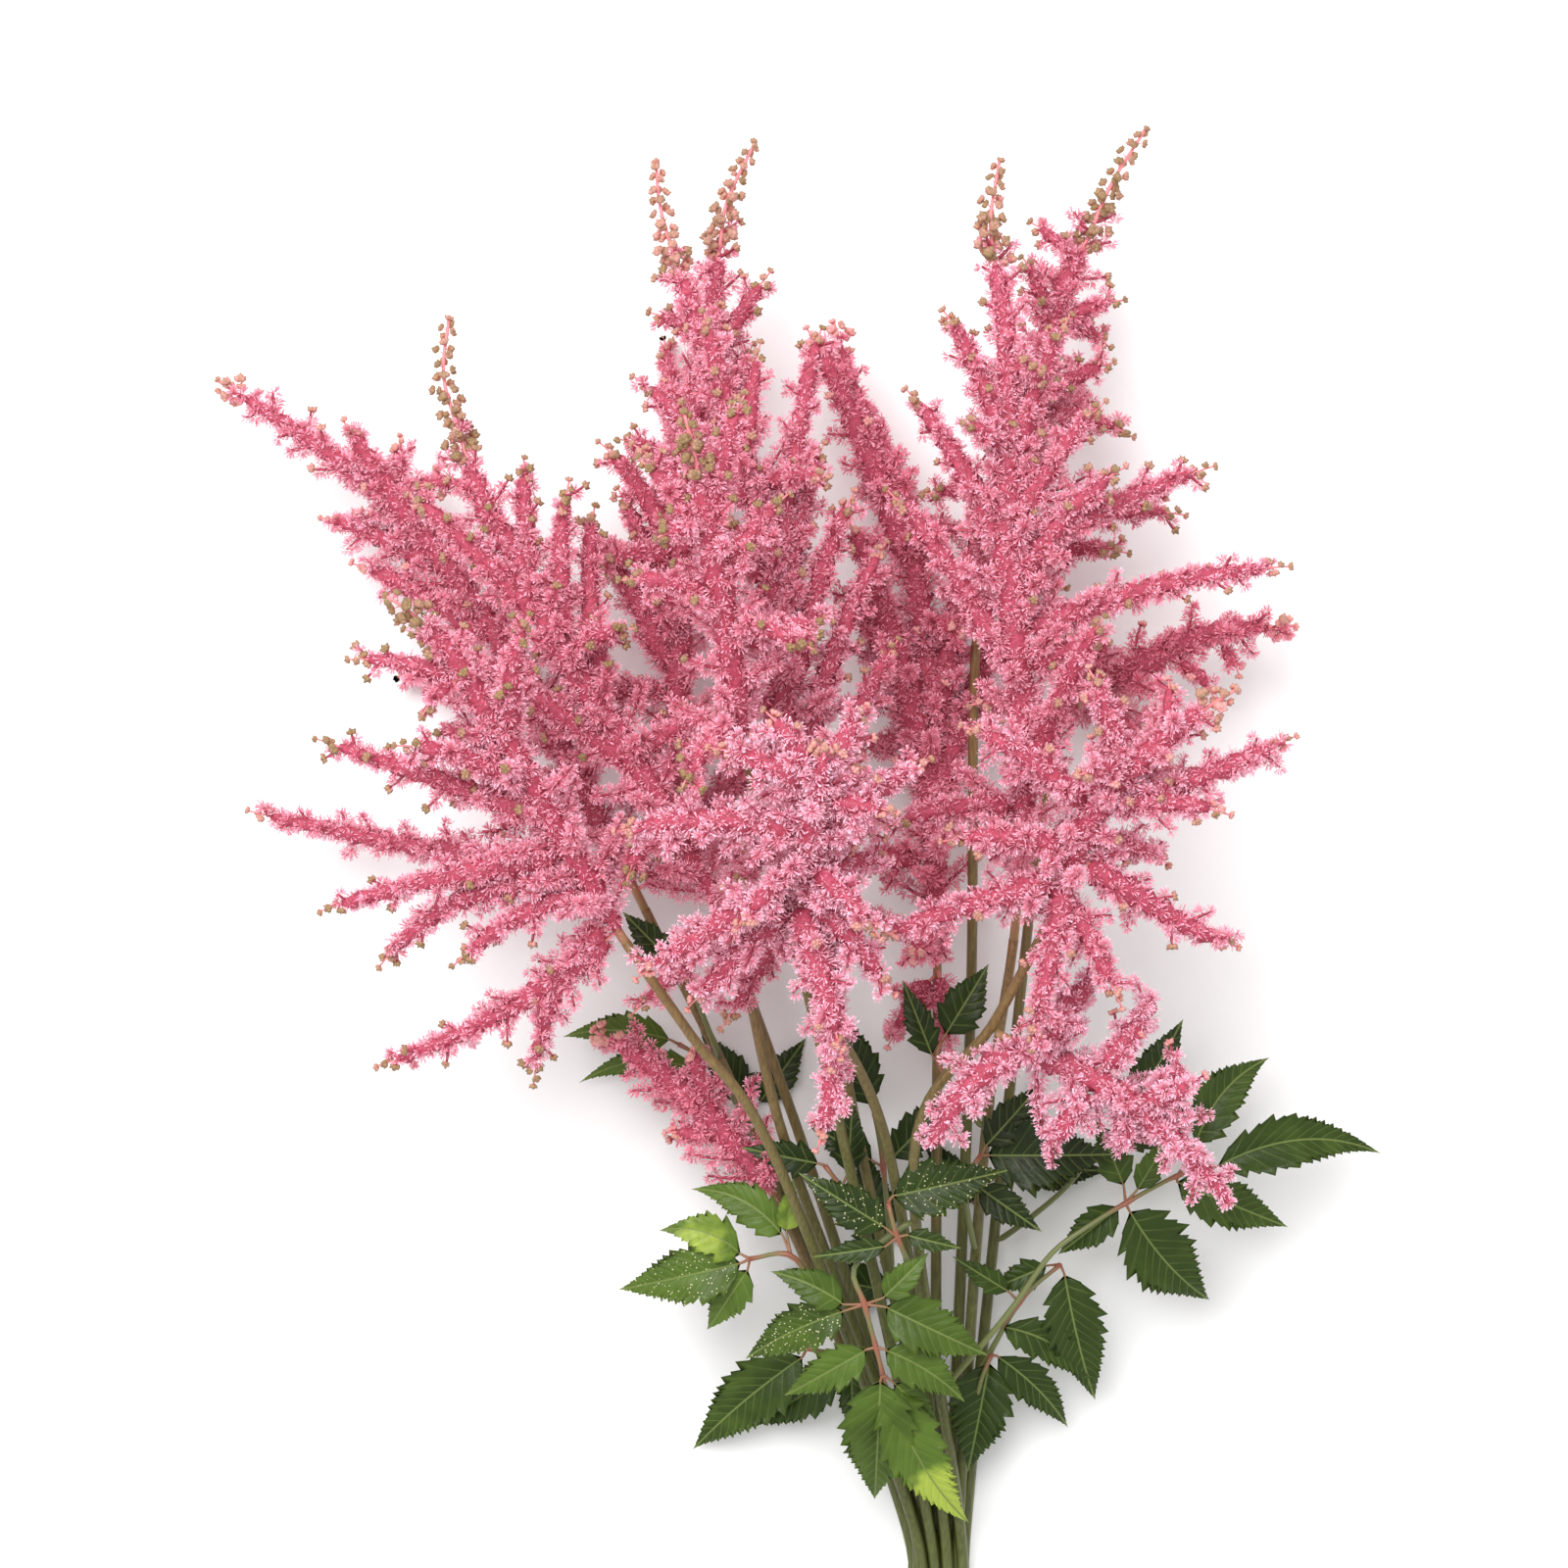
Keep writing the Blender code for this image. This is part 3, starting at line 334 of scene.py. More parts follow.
class Skin:
    """A Principled material in the making. Its methods add nodes and give the outputs that count."""

    def __init__(self, name, roughness):
        self.material = bpy.data.materials.new(name)
        self.material.use_nodes = True
        self.nodes = self.material.node_tree.nodes
        self.shader = self.nodes["Principled BSDF"]
        self.feed(self.shader, {"Roughness": roughness})

    def feed(self, node, values):
        """Links each output to the node's input of that name, or stores a number or a colour there."""
        for key, value in values.items():
            if isinstance(value, bpy.types.NodeSocket):
                self.material.node_tree.links.new(value, node.inputs[key])
            else:
                node.inputs[key].default_value = (*value, 1) if isinstance(value, tuple) else value

    def number(self, name):
        node = self.nodes.new("ShaderNodeAttribute")
        node.attribute_name = name
        return node.outputs["Fac"]

    def place(self):
        return self.nodes.new("ShaderNodeTexCoord").outputs["Object"]

    def noise(self, place, scale, detail=2):
        node = self.nodes.new("ShaderNodeTexNoise")
        self.feed(node, {"Vector": place, "Scale": scale, "Detail": detail})
        return node.outputs["Fac"]

    def reckon(self, operation, first, second):
        node = self.nodes.new("ShaderNodeMath")
        node.operation = operation
        self.feed(node, {0: first, 1: second})
        return node.outputs[0]

    def fade(self, value, low, high, out_low, out_high):
        """From out_low at low to out_high at high, smoothly."""
        node = self.nodes.new("ShaderNodeMapRange")
        node.interpolation_type = "SMOOTHSTEP"
        self.feed(node, {"Value": value, "From Min": low, "From Max": high})
        self.feed(node, {"To Min": out_low, "To Max": out_high})
        return node.outputs["Result"]

    def ramp(self, value, stops):
        """The colour that the value reads off the stops."""
        node = self.nodes.new("ShaderNodeValToRGB")
        elements = node.color_ramp.elements
        while len(elements) < len(stops):
            elements.new(0.5)
        for element, (place, colour) in zip(elements, stops):
            element.position = place
            element.color = (*colour, 1)
        self.feed(node, {"Fac": value})
        return node.outputs["Color"]

    def mixed(self, share, a, b, blend="MIX"):
        node = self.nodes.new("ShaderNodeMix")
        node.data_type = "RGBA"
        node.blend_type = blend
        self.feed(node, {"Factor": share, "A": a, "B": b})
        return node.outputs["Result"]

    def raised(self, height, strength, distance):
        """The shader's normal bumps by this height."""
        node = self.nodes.new("ShaderNodeBump")
        self.feed(node, {"Strength": strength, "Distance": distance, "Height": height})
        self.feed(self.shader, {"Normal": node.outputs["Normal"]})

    def coloured(self, colour):
        """The finished material, with this base colour."""
        self.feed(self.shader, {"Base Color": colour})
        return self.material


def stem_green():
    """Green to reddish along the stem, streaked lengthwise by noise that is stretched along Y."""
    skin = Skin("stem_skin", 0.42)
    green = skin.ramp(skin.number("along"), STEM_GREENS)
    stretch = skin.nodes.new("ShaderNodeMapping")
    stretch.inputs["Scale"].default_value = STREAK_STRETCH
    skin.feed(stretch, {"Vector": skin.place()})
    streaks = skin.noise(stretch.outputs["Vector"], 1, 3)
    skin.raised(streaks, 0.25, 0.0003)
    return skin.coloured(skin.mixed(0.75, green, streaks, "OVERLAY"))


stem_skin = stem_green()
ridged = 1 + RIDGE_DEPTH * np.cos(STEM_RIDGES * circle(STEM_CORNERS))
routes = {}
stems = {}
for name, plume in PLUMES.items():
    if not plume["slot"]:
        continue
    route, start = routes[name] = stem_route(plume["slot"], plume["via"], plume["rachis"])
    lengths = np.linspace(0, start + STEM_OVERRUN, round(start / STEM_STEP))
    radii = np.interp(lengths, (BUNDLE_TOP_Y - CUT_END_Y, start), (STEM_RADIUS, STEM_TOP_RADIUS))
    line = route.at(lengths)
    points, triangles, share = swept(line[None], radii[None], STEM_CORNERS, ridged)
    stalk = skin_of("stalk_" + name, points, triangles, [stem_skin], along=share)
    stands_for(stalk, "stem_" + name)
    stems[name] = line

# The leaves: compound, each a thin petiole that leaves a stem low down and carries one to nine toothed
# leaflets on short stalks. Blades are leathery, dark green above with sunken yellow-green veins and paler
# below.
PETIOLE_RADIUS = 1.5
PETIOLE_TIP_RADIUS = 0.9
STALK_RADII = (0.75, 0.45)
BLADE_ARCH = 0.07
BLADE_KEEL = 0.16
BLADE_SKEW = 0.62
BLADE_TAPER = 1.2
BLADE_THICKNESS = 0.36
TOOTH_PITCH = 5.0
FEWEST_TEETH = 6
MOST_TEETH = 13
TOOTH_PLACES = (0, 0.36, 0.44, 0.9)
TOOTH_REACH = (0.76, 0.98, 0.9, 1.12)
BLADE_LANES = (0, 0.12, 0.42, 0.76, 1)
VEIN_RUN = 0.34
QUILT_HEIGHT = 0.55
RIB_DEPTH = 0.35
MARGIN_WAVE = 0.018
WAVES_PER_BLADE = 1.7
FULL_RELIEF = (6, 4, 5)
TOOTH_DEPTHS = (0.55, 1.25)
PETIOLE_STEP = 4
SWELLING = 0.35
SWELLING_REACH = 2.5
RED_REACH = 6
INTO_BLADE = 0.06
LEAFLET_SHADES = (0.75, 1.1)
LEAF_GREENS = [(0, (0.009, 0.018, 0.003)), (0.45, (0.028, 0.052, 0.005)), (0.85, (0.090, 0.152, 0.018)),
               (1, (0.34, 0.44, 0.06))]
LEAF_SHINE = 0.22
LEAF_BELOW = (0.12, 0.17, 0.065)
VEIN_COLOUR = (0.17, 0.22, 0.06)
SPECK_COLOUR = (0.62, 0.58, 0.36)
PETIOLE_COLOURS = [(0, (0.15, 0.17, 0.055)), (1, (0.30, 0.09, 0.055))]
GAP = 0.5
STEM_POINT_SPACING = 60
SOLID_STEM_RADIUS = 2.75

# Each leaf: how light its green is (partly painted shade: leaves deep in the bunch are darker), the stem that
# it grows from and where along Y, the other points of its petiole, and its leaflets as (the petiole point
# that the stalk starts from, the blade's base, the blade's tip, its width as a share of its length, how far
# it bends aside as a share of its length).
LEAVES = {
    "left": (
        0.85, ("left_front", -160), [(-3, -144, 72), (-21, -146, 67)],
        [(1, (-7, -135, 69), (-47, -116, 60), 0.42, 0.13), (1, (-5, -134, 70), (-2, -110, 74), 0.48, 0),
         (2, (-25, -144, 66), (-61, -134, 64), 0.54, 0.14), (2, (-25, -148, 66), (-79, -161, 50), 0.46, 0),
         (2, (-22, -151, 65), (-40, -179, 48), 0.48, 0)],
    ),
    "front": (
        0.72, ("right_front", -128), [(25, -147, 88), (29, -164, 88), (34, -183, 84), (37, -195, 82)],
        [(2, (20, -164, 88), (-12, -150, 84), 0.48, 0.06), (2, (20, -167, 87), (-23, -190, 66), 0.42, 0.04),
         (2, (38, -165, 89), (83, -187, 80), 0.5, 0), (2, (37, -161, 90), (57, -141, 90), 0.5, 0),
         (3, (30, -184, 84), (-6, -206, 66), 0.42, 0), (3, (38, -184, 85), (73, -208, 74), 0.46, -0.06),
         (4, (36, -198, 81), (34, -254, 46), 0.5, 0), (4, (42, -199, 80), (62, -219, 66), 0.42, 0),
         (4, (39, -201, 78), (76, -265, 42), 0.34, 0.05)],
    ),
    "low_left": (
        0.45, ("left", -206), [(23, -194, 26), (4, -189, 30)],
        [(2, (2, -193, 29), (-47, -237, 4), 0.42, 0.03), (1, (18, -200, 26), (-21, -226, 9), 0.46, 0),
         (1, (24, -200, 25), (25, -229, 10), 0.4, 0)],
    ),
    "centre": (
        0.34, ("right_front", -150), [(43, -134, 98), (39, -119, 100)],
        [(1, (47, -133, 99), (71, -139, 97), 0.4, 0), (2, (41, -116, 101), (91, -105, 98), 0.5, 0),
         (1, (38, -130, 98), (0, -106, 98), 0.44, 0), (1, (38, -138, 97), (6, -143, 92), 0.34, 0)],
    ),
    "back_left": (
        0.2, ("centre_front", -135), [(19, -115, 69), (12, -105, 70)],
        [(2, (9, -104, 70), (-25, -97, 68), 0.46, 0), (1, (22, -108, 70), (24, -74, 74), 0.42, 0)],
    ),
    "back_right": (
        0.12, ("right", -140), [(73, -112, 74), (80, -100, 76)],
        [(2, (83, -100, 76), (138, -100, 71), 0.6, 0), (2, (82, -96, 77), (107, -68, 74), 0.46, 0),
         (1, (79, -114, 74), (107, -134, 70), 0.46, 0)],
    ),
    "right": (
        0.55, ("right_front", -204), [(92, -172, 54), (111, -145, 59), (128, -132, 60), (144, -122, 62),
        (167, -110, 60), (182, -107, 57)],
        [(4, (143, -114, 63), (131, -84, 60), 0.5, 0), (4, (149, -116, 63), (164, -91, 62), 0.42, 0),
         (5, (175, -96, 57), (209, -59, 42), 0.44, -0.11),
         (6, (185, -106, 56), (259, -102, 36), 0.32, -0.12), (5, (167, -113, 58), (217, -134, 42), 0.42, 0),
         (4, (146, -126, 60), (183, -167, 34), 0.54, 0.05), (4, (141, -124, 57), (115, -146, 44), 0.46, 0)],
    ),
    "low_right": (
        0.42, ("right", -200), [(98, -167, 46), (116, -150, 48)],
        [(2, (118, -155, 46), (133, -213, 20), 0.42, 0.02), (1, (93, -162, 47), (68, -146, 52), 0.38, 0),
         (1, (91, -178, 44), (131, -207, 25), 0.36, -0.12), (2, (110, -151, 44), (85, -162, 38), 0.5, 0)],
    ),
    "low_centre": (
        0.3, ("right", -228), [(81, -204, 36), (86, -191, 37)],
        [(2, (89, -192, 36), (121, -226, 14), 0.36, -0.05), (2, (85, -195, 35), (76, -245, 22), 0.54, 0)],
    ),
    "upper_left": (
        0.75, ("far_left", -86), [(-37, -64, 22), (-53, -54, 23)],
        [(2, (-57, -52, 23), (-105, -51, 20), 0.36, 0.08), (1, (-45, -65, 22), (-98, -72, 14), 0.26, 0.12)],
    ),
    "upper_right": (
        0.2, ("right", -88), [(62, -61, 60), (63, -51, 60)],
        [(2, (65, -48, 60), (84, -17, 58), 0.56, 0), (1, (59, -57, 60), (46, -24, 58), 0.4, 0)],
    ),
    "far_left": (
        0.2, ("far_left", -56), [(-47, -27, 62), (-54, -18, 62)],
        [(2, (-56, -15, 62), (-77, 6, 60), 0.5, 0)],
    ),
    "right_back": (
        0.3, ("far_right", -140), [(117, -118, 44), (133, -98, 44), (146, -85, 44)],
        [(3, (148, -82, 44), (171, -42, 38), 0.46, 0), (2, (140, -96, 43), (184, -80, 32), 0.4, 0)],
    ),
    "middle": (
        0.15, ("centre", -152), [(38, -108, 36), (34, -84, 38)],
        [(2, (32, -80, 38), (14, -34, 34), 0.46, 0), (1, (42, -104, 36), (72, -72, 34), 0.44, 0),
         (1, (33, -105, 36), (4, -88, 34), 0.5, 0)],
    ),
    "under": (
        0.3, ("back", -196), [(45, -167, 3), (38, -152, 3)],
        [(2, (37, -149, 3), (29, -99, 1.2), 0.46, 0), (1, (42, -166, 3), (-6, -156, 1.2), 0.44, 0)],
    ),
    "behind": (
        0.2, ("far_left", -118), [(-22, -100, 4), (-19, -84, 4)],
        [(2, (-21, -81, 4), (-44, -48, 1.2), 0.46, 0), (2, (-17, -81, 4), (4, -52, 1.2), 0.48, 0),
         (1, (-25, -101, 4), (-36, -84, 1.2), 0.5, 0)],
    ),
    "behind_right": (
        0.15, ("right", -150), [(82, -128, 4), (94, -112, 4)],
        [(2, (98, -110, 4), (140, -112, 1.2), 0.48, 0), (2, (96, -107, 4), (110, -72, 1.2), 0.48, 0),
         (1, (79, -126, 4), (56, -96, 1.2), 0.46, 0)],
    ),
}
LIME_LEAFLET = ("front", 8)
SPECKLED_LEAFLETS = (("centre", 1), ("left", 3), ("front", 1), ("centre", 2))


class Pile:
    """Shapes for one mesh: points, triangles, the material of each triangle and values of each point."""

    def __init__(self):
        self.points = []
        self.triangles = []
        self.materials = []
        self.values = {}
        self.count = 0

    def add(self, points, triangles, material=0, **values):
        self.points.append(points)
        self.triangles.append(triangles + self.count)
        self.materials.append(np.full(len(triangles), material))
        for key, numbers in values.items():
            self.values.setdefault(key, []).append(np.broadcast_to(numbers, len(points)))
        self.count += len(points)

    def piece(self, name, materials, smooth=True):
        values = {key: np.concatenate(numbers) for key, numbers in self.values.items()}
        made = skin_of(name, np.vstack(self.points), np.vstack(self.triangles), materials, smooth, **values)
        made.data.polygons.foreach_set("material_index", np.concatenate(self.materials).astype(np.int32))
        return made


def solid_stem_line(route, start):
    """The few points between which the solid's stem runs straight. Petioles are rooted beside these."""
    bundle = BUNDLE_TOP_Y - CUT_END_Y
    free = np.linspace(bundle, start - GAP, round(start / STEM_POINT_SPACING))
    return route.at(np.concatenate([[0, bundle / 2], free]))


def root_beside(stem, y, toward, radius):
    """The place beside a stem, at this y, where an end that heads toward a point just clears the stem."""
    centre = read_off(stem, stem[:, 1], y)
    run = np.searchsorted(stem[:, 1], y)
    lean = unit(stem[run] - stem[run - 1])
    heading = unit(np.asarray(toward, float) - centre)
    out = heading - (heading @ lean) * lean
    tilt = math.sqrt(1 - out @ out)
    return centre + unit(out) * (SOLID_STEM_RADIUS + GAP + radius * tilt)


def blade(base, tip, width_share, bend, chance):
    """A toothed blade as a closed thin skin. Along the rib its half width is sin(pi s^skew)^taper times half
    its width; a side vein that leaves the rib at t reaches s = t + run v (1 - t) min(1, 4t) at the lane v and
    ends in a tooth, and the skin bulges between two veins. Gives points, triangles, the share s of each point
    and its other values."""
    base, tip = np.asarray(base, float), np.asarray(tip, float)
    length = np.linalg.norm(tip - base)
    along = (tip - base) / length
    normal = unit(np.array([0, 0, 1]) - along[2] * along)
    across = np.cross(along, normal)
    teeth = int(np.clip(round(length / TOOTH_PITCH), FEWEST_TEETH, MOST_TEETH))
    t = ((np.arange(teeth)[:, None] + TOOTH_PLACES) / teeth).ravel()
    depth = np.repeat(chance.uniform(*TOOTH_DEPTHS, teeth), len(TOOTH_PLACES))
    reach = 1 + (np.tile(TOOTH_REACH, teeth) - 1) * depth
    t = np.append(t, 1)[:, None]
    reach = np.append(reach, 1)[:, None]
    lanes = np.array(BLADE_LANES[:0:-1] + BLADE_LANES)
    sides = np.sign(np.arange(len(lanes)) - len(BLADE_LANES) + 1)
    s = t + VEIN_RUN * lanes * (1 - t) * np.minimum(1, 4 * t)
    fullness = np.abs(np.sin(math.pi * np.clip(s, 0, 1) ** BLADE_SKEW))
    half = 0.5 * width_share * length * fullness**BLADE_TAPER
    aside = half * lanes * (1 + (reach - 1) * lanes**4)
    vein = t * teeth - TOOTH_PLACES[-1]
    bulge = np.abs(np.sin(math.pi * vein)) * 4 * lanes * (1 - lanes) * QUILT_HEIGHT
    full_bulge, full_rib, full_wave = (np.minimum(1, half / width) for width in FULL_RELIEF)
    bulge = bulge * full_bulge - RIB_DEPTH * (lanes == 0) * full_rib
    phase = 2 * math.pi * (WAVES_PER_BLADE * s + chance.uniform()) + 2 * sides
    wave = MARGIN_WAVE * length * lanes**2 * np.sin(phase)
    lift = length * 4 * s * (1 - s)
    up = lift * BLADE_ARCH + BLADE_KEEL * aside + bulge + wave * full_wave
    out = lift * bend + sides * aside
    top = base + (length * s)[..., None] * along + out[..., None] * across + up[..., None] * normal
    rows, columns = s.shape
    points = np.vstack([top.reshape(-1, 3), (top - BLADE_THICKNESS * normal).reshape(-1, 3)])
    i, j = np.meshgrid(np.arange(rows - 1), np.arange(columns - 1), indexing="ij")
    a = (i * columns + j).ravel()
    b = a + columns
    upper = np.vstack([np.stack([a, b + 1, a + 1], 1), np.stack([a, b, b + 1], 1)])
    lower = upper[:, ::-1] + rows * columns
    left = np.arange(rows) * columns
    right = left + columns - 1
    backwards = (rows - 1) * columns + np.arange(columns - 2, -1, -1)
    rim = np.concatenate([left[::-1], np.arange(1, columns), right[1:], backwards])
    after = np.append(rim[1:], rim[:1])
    edge = np.vstack([np.stack([rim, after, after + rows * columns], 1),
                      np.stack([rim, after + rows * columns, rim + rows * columns], 1)])
    values = {
        "vein": np.tile((vein + 0 * lanes).ravel(), 2),
        "aside": np.tile(aside.ravel(), 2),
        "under": np.repeat([0.0, 1.0], rows * columns),
    }
    return points, np.vstack([upper, lower, edge[:, ::-1]]), np.tile(s.ravel(), 2), values


def leaf_skin_material():
    """Green that noise mottles and each leaf's given lightness shifts, which is partly painted shade that
    darkens the leaves deep in the bunch; within 0.09 of a whole vein number, or 0.6 mm of the rib, it turns
    to the colour of the veins, which are strongest next to the rib."""
    skin = Skin("leaf_skin", 0.36)
    skin.feed(skin.shader, {"Specular IOR Level": LEAF_SHINE})
    reckon, number, fade = skin.reckon, skin.number, skin.fade
    where = skin.place()
    grain = skin.noise(where, 900, 3)
    mottle = reckon("MULTIPLY", reckon("SUBTRACT", skin.noise(where, 70, 4), 0.5), 0.55)
    green = skin.ramp(reckon("ADD", number("light"), mottle), LEAF_GREENS)
    from_vein = reckon("PINGPONG", number("vein"), 0.5)
    from_rib = number("aside")
    side_veins = reckon("MULTIPLY", fade(from_vein, 0.02, 0.09, 0.36, 0), fade(from_rib, 1, 9, 1, 0.35))
    midrib = fade(from_rib, 0.2, 0.6, 0.8, 0)
    veined = skin.mixed(reckon("MAXIMUM", side_veins, midrib), green, VEIN_COLOUR)
    cells = skin.nodes.new("ShaderNodeTexVoronoi")
    skin.feed(cells, {"Vector": where, "Scale": 560})
    speck = reckon("MULTIPLY", fade(cells.outputs["Distance"], 0.14, 0.21, 1, 0), number("specks"))
    skin.feed(skin.shader, {"Roughness": fade(grain, 0.3, 0.7, 0.30, 0.46)})
    skin.raised(reckon("SUBTRACT", grain, side_veins), 0.35, 0.0004)
    return skin.coloured(skin.mixed(number("under"), skin.mixed(speck, veined, SPECK_COLOUR), LEAF_BELOW))


def ramped_skin(name, roughness, attribute, stops):
    """A colour that one attribute reads off the stops."""
    skin = Skin(name, roughness)
    return skin.coloured(skin.ramp(skin.number(attribute), stops))


leaf_skins = [leaf_skin_material(), ramped_skin("petiole_skin", 0.4, "red", PETIOLE_COLOURS)]
chance = np.random.default_rng(11)
leaves = {}
plain = {"vein": 0, "aside": 0, "under": 0, "light": 0, "specks": 0}
for name, (light_of_leaf, (stem, y), rest, leaflets) in LEAVES.items():
    root = root_beside(solid_stem_line(*routes[stem]), y, rest[0], PETIOLE_RADIUS)
    petiole = [root] + [np.array(point, float) for point in rest]
    leaves[name] = petiole, leaflets
    pile = Pile()
    foot = stems[stem][np.argmin(np.abs(stems[stem][:, 1] - y))]
    route = Route([foot] + petiole)
    lengths = np.linspace(0, route.length, round(route.length / PETIOLE_STEP))
    radii = np.linspace(PETIOLE_RADIUS, PETIOLE_TIP_RADIUS, len(lengths))
    joints = np.array([route.length_to(stalk + 1) for stalk, *_ in leaflets])
    from_joint = np.abs(lengths[:, None] - joints).min(axis=1)
    radii = radii * (1 + SWELLING * np.exp(-((from_joint / SWELLING_REACH) ** 2)))
    points, triangles, share = swept(route.at(lengths)[None], radii[None], 8)
    red = np.interp(share * route.length, lengths, np.exp(-((from_joint / RED_REACH) ** 2)))
    pile.add(points, triangles, 1, red=red, **plain)
    for number, (stalk, base, tip, width_share, bend) in enumerate(leaflets):
        inside = (1 - INTO_BLADE) * np.array(base) + INTO_BLADE * np.array(tip)
        run = Route([petiole[stalk], base, inside])
        places = np.linspace(0, run.length, 7)
        points, triangles, share = swept(run.at(places)[None], np.linspace(*STALK_RADII, 7)[None], 6)
        pile.add(points, triangles, 1, red=0.9 - 0.6 * share, **plain)
        points, triangles, share, values = blade(base, tip, width_share, bend, chance)
        # Each leaf's lightness is partly painted shade; the random factor per leaflet is its own tone.
        light = light_of_leaf * chance.uniform(*LEAFLET_SHADES)
        if (name, number) == LIME_LEAFLET:
            light = light + 0.8 * share**2
        specks = float((name, number) in SPECKLED_LEAFLETS)
        pile.add(points, triangles, 0, red=0, light=light, specks=specks, **values)
    stands_for(pile.piece("blades_" + name, leaf_skins), "leaf_" + name)

# The flower heads' frames: the rachis, its arching side branches, and short sprigs on both, all fleshy; the
# rachis and branches are salmon red, while the sprigs wear the deep rose that is painted shade. Each head
# grows
# these from its rachis by itself: first the long branches that are given, then more of them wherever there is
# free room.
CORE_RADII = ((0.05, 7), (0.25, 12), (0.5, 13), (0.8, 8.5), (1, 4.5))
BARE_SHARE = 0.05
FLORET_PITCH = 23
BRANCH_BARE_LENGTH = 17
LAST_RING_TO_TIP = 9
BRANCH_BASE_RADIUS = 12
BRANCH_TIP_RADIUS = 5
LONG_BRANCH = 70
BRANCH_BOW = 0.16
ROOM_STEP = 6
LOWEST_SHARE = 0.04
SHARE_SPAN = 0.72
GOLDEN = 0.618
PLUME_SHIFT = 0.37
SPREAD_TAPER = 0.7
TRIED_TURNS = 18
TRIED_RISES = (48, 72, 96)
TRIED_REACHES = (1, 0.8, 0.62, 0.46)
OWN_OVERLAP = 4
APART_ENOUGH = 6
APART_WEIGHT = 2.5
BARE_WEIGHT = 4
RACHIS_RADII = (2.0, 0.7)
BRANCH_RADII = (0.95, 0.4)
SPRIG_RADII = (1.25, 0.6)
SPRIG_PITCH = 5.5
SPRIG_LONGEST = 33
SPRIG_ON_BRANCH = 1.6
SPRIG_STEP = 6.0
SPRIG_STAND = (5.0, 3.6)
OWN_FLORETS = 0.68
AXIS_STEP = 5
SPRIGS_FROM = 0.07
SPRIG_TAPER = (1.04, 0.62)
BRANCH_FOOT = 7
BRANCH_BUDS = (0.2, 10)
SPRIG_FOOT = 1.5
SPRIG_BUDS = 3.0
SPRIG_SIZES = (0.7, 1.2)
SPRIG_RISES = (48, 72)
GOLDEN_ANGLE = math.pi * (3 - math.sqrt(5))
RACHIS_COLOURS = [(0, (0.26, 0.17, 0.06)), (0.12, (0.66, 0.22, 0.17)), (0.6, (0.80, 0.26, 0.28)),
                  (1, (0.80, 0.26, 0.28))]


class Room:
    """The room that is taken: balls along everything placed so far, each with its owner."""

    def __init__(self):
        self.centres = np.zeros((0, 3))
        self.radii = np.zeros(0)
        self.owners = np.zeros(0, int)

    def take(self, centres, radii, owner):
        spaced = np.linspace(0, len(centres) - 1, 3 * len(centres) - 2)
        number = np.arange(len(centres))
        self.centres = np.vstack([self.centres, read_off(centres, number, spaced)])
        self.radii = np.append(self.radii, np.interp(spaced, number, radii))
        self.owners = np.append(self.owners, np.full(len(spaced), owner))

    def clearance(self, centres, radii, mask):
        """The least distance from the branch to the balls that mask keeps."""
        apart = np.linalg.norm(centres[:, None] - self.centres[None, mask], axis=-1)
        return (apart - radii[:, None] - self.radii[None, mask]).min()

    def bare_above(self, centres):
        """How far the branch lies, on average and seen from above, outside everything placed so far."""
        apart = np.linalg.norm(centres[:, None, :2] - self.centres[None, :, :2], axis=-1)
        return np.clip((apart - self.radii).min(axis=1), 0, FLORET_PITCH).mean()


def leaf_room(petiole, leaflets):
    """Lines with radii along petiole, ribs and blade halves: the room that a leaf takes."""
    lines = [(np.array(petiole), PETIOLE_RADIUS)]
    for stalk, base, tip, width_share, bend in leaflets:
        root, base, tip = (np.array(point, float) for point in (petiole[stalk], base, tip))
        length = np.linalg.norm(tip - base)
        across = unit(np.cross(tip - base, (0, 0, 1)))
        arched = base + (tip - base) * 0.5 + bend * length * across + np.array([0, 0, BLADE_ARCH * length])
        quarter = 0.25 * width_share * length
        lines.append((np.array([root, base, arched, tip]), PETIOLE_RADIUS))
        for side in (-1, 1):
            lines.append((np.array([base, arched + side * quarter * across, tip]), quarter / 2))
    return lines


def on_bow(bend, share):
    """Points of the curve (1 - s)^2 root + 2 s (1 - s) middle + s^2 tip."""
    root, middle, tip = bend
    s = np.asarray(share)[:, None]
    return (1 - s) ** 2 * root + 2 * s * (1 - s) * middle + s**2 * tip


def bow(root, lean, tip, pull=None):
    """The root, middle and tip of a side branch. Its middle is pulled off the straight line, by default along
    lean, so that the branch arches out."""
    length = np.linalg.norm(tip - root)
    middle = (root + tip) / 2 + (BRANCH_BOW * length * lean if pull is None else np.array(pull))
    return root, middle, tip


def branch_radius(length, share):
    """How far the florets stand out, along a side branch of this length."""
    base = BRANCH_TIP_RADIUS + (BRANCH_BASE_RADIUS - BRANCH_TIP_RADIUS) * min(1, length / LONG_BRANCH)
    return base + (BRANCH_TIP_RADIUS - base) * share


def rings_of(bend):
    """The places along a side branch, with radii, by which its room is reckoned."""
    length = np.linalg.norm(bend[2] - bend[0])
    count = max(2, round((length - BRANCH_BARE_LENGTH) / FLORET_PITCH))
    share = np.append(0, np.linspace(BRANCH_BARE_LENGTH / length, 1 - LAST_RING_TO_TIP / length, count))
    radii = branch_radius(length, share)
    radii[0] = 0
    return on_bow(bend, share), radii


def rachis_room(route, start):
    """The places along a rachis, with radii, by which its room is reckoned."""
    length = route.length - start
    count = round(length * (1 - BARE_SHARE) / FLORET_PITCH)
    share = np.append(0, np.linspace(BARE_SHARE, 1 - LAST_RING_TO_TIP / length, count))
    radii = np.interp(share, *zip(*CORE_RADII))
    radii[:2] = STEM_TOP_RADIUS
    return route.at(start + share * length), radii


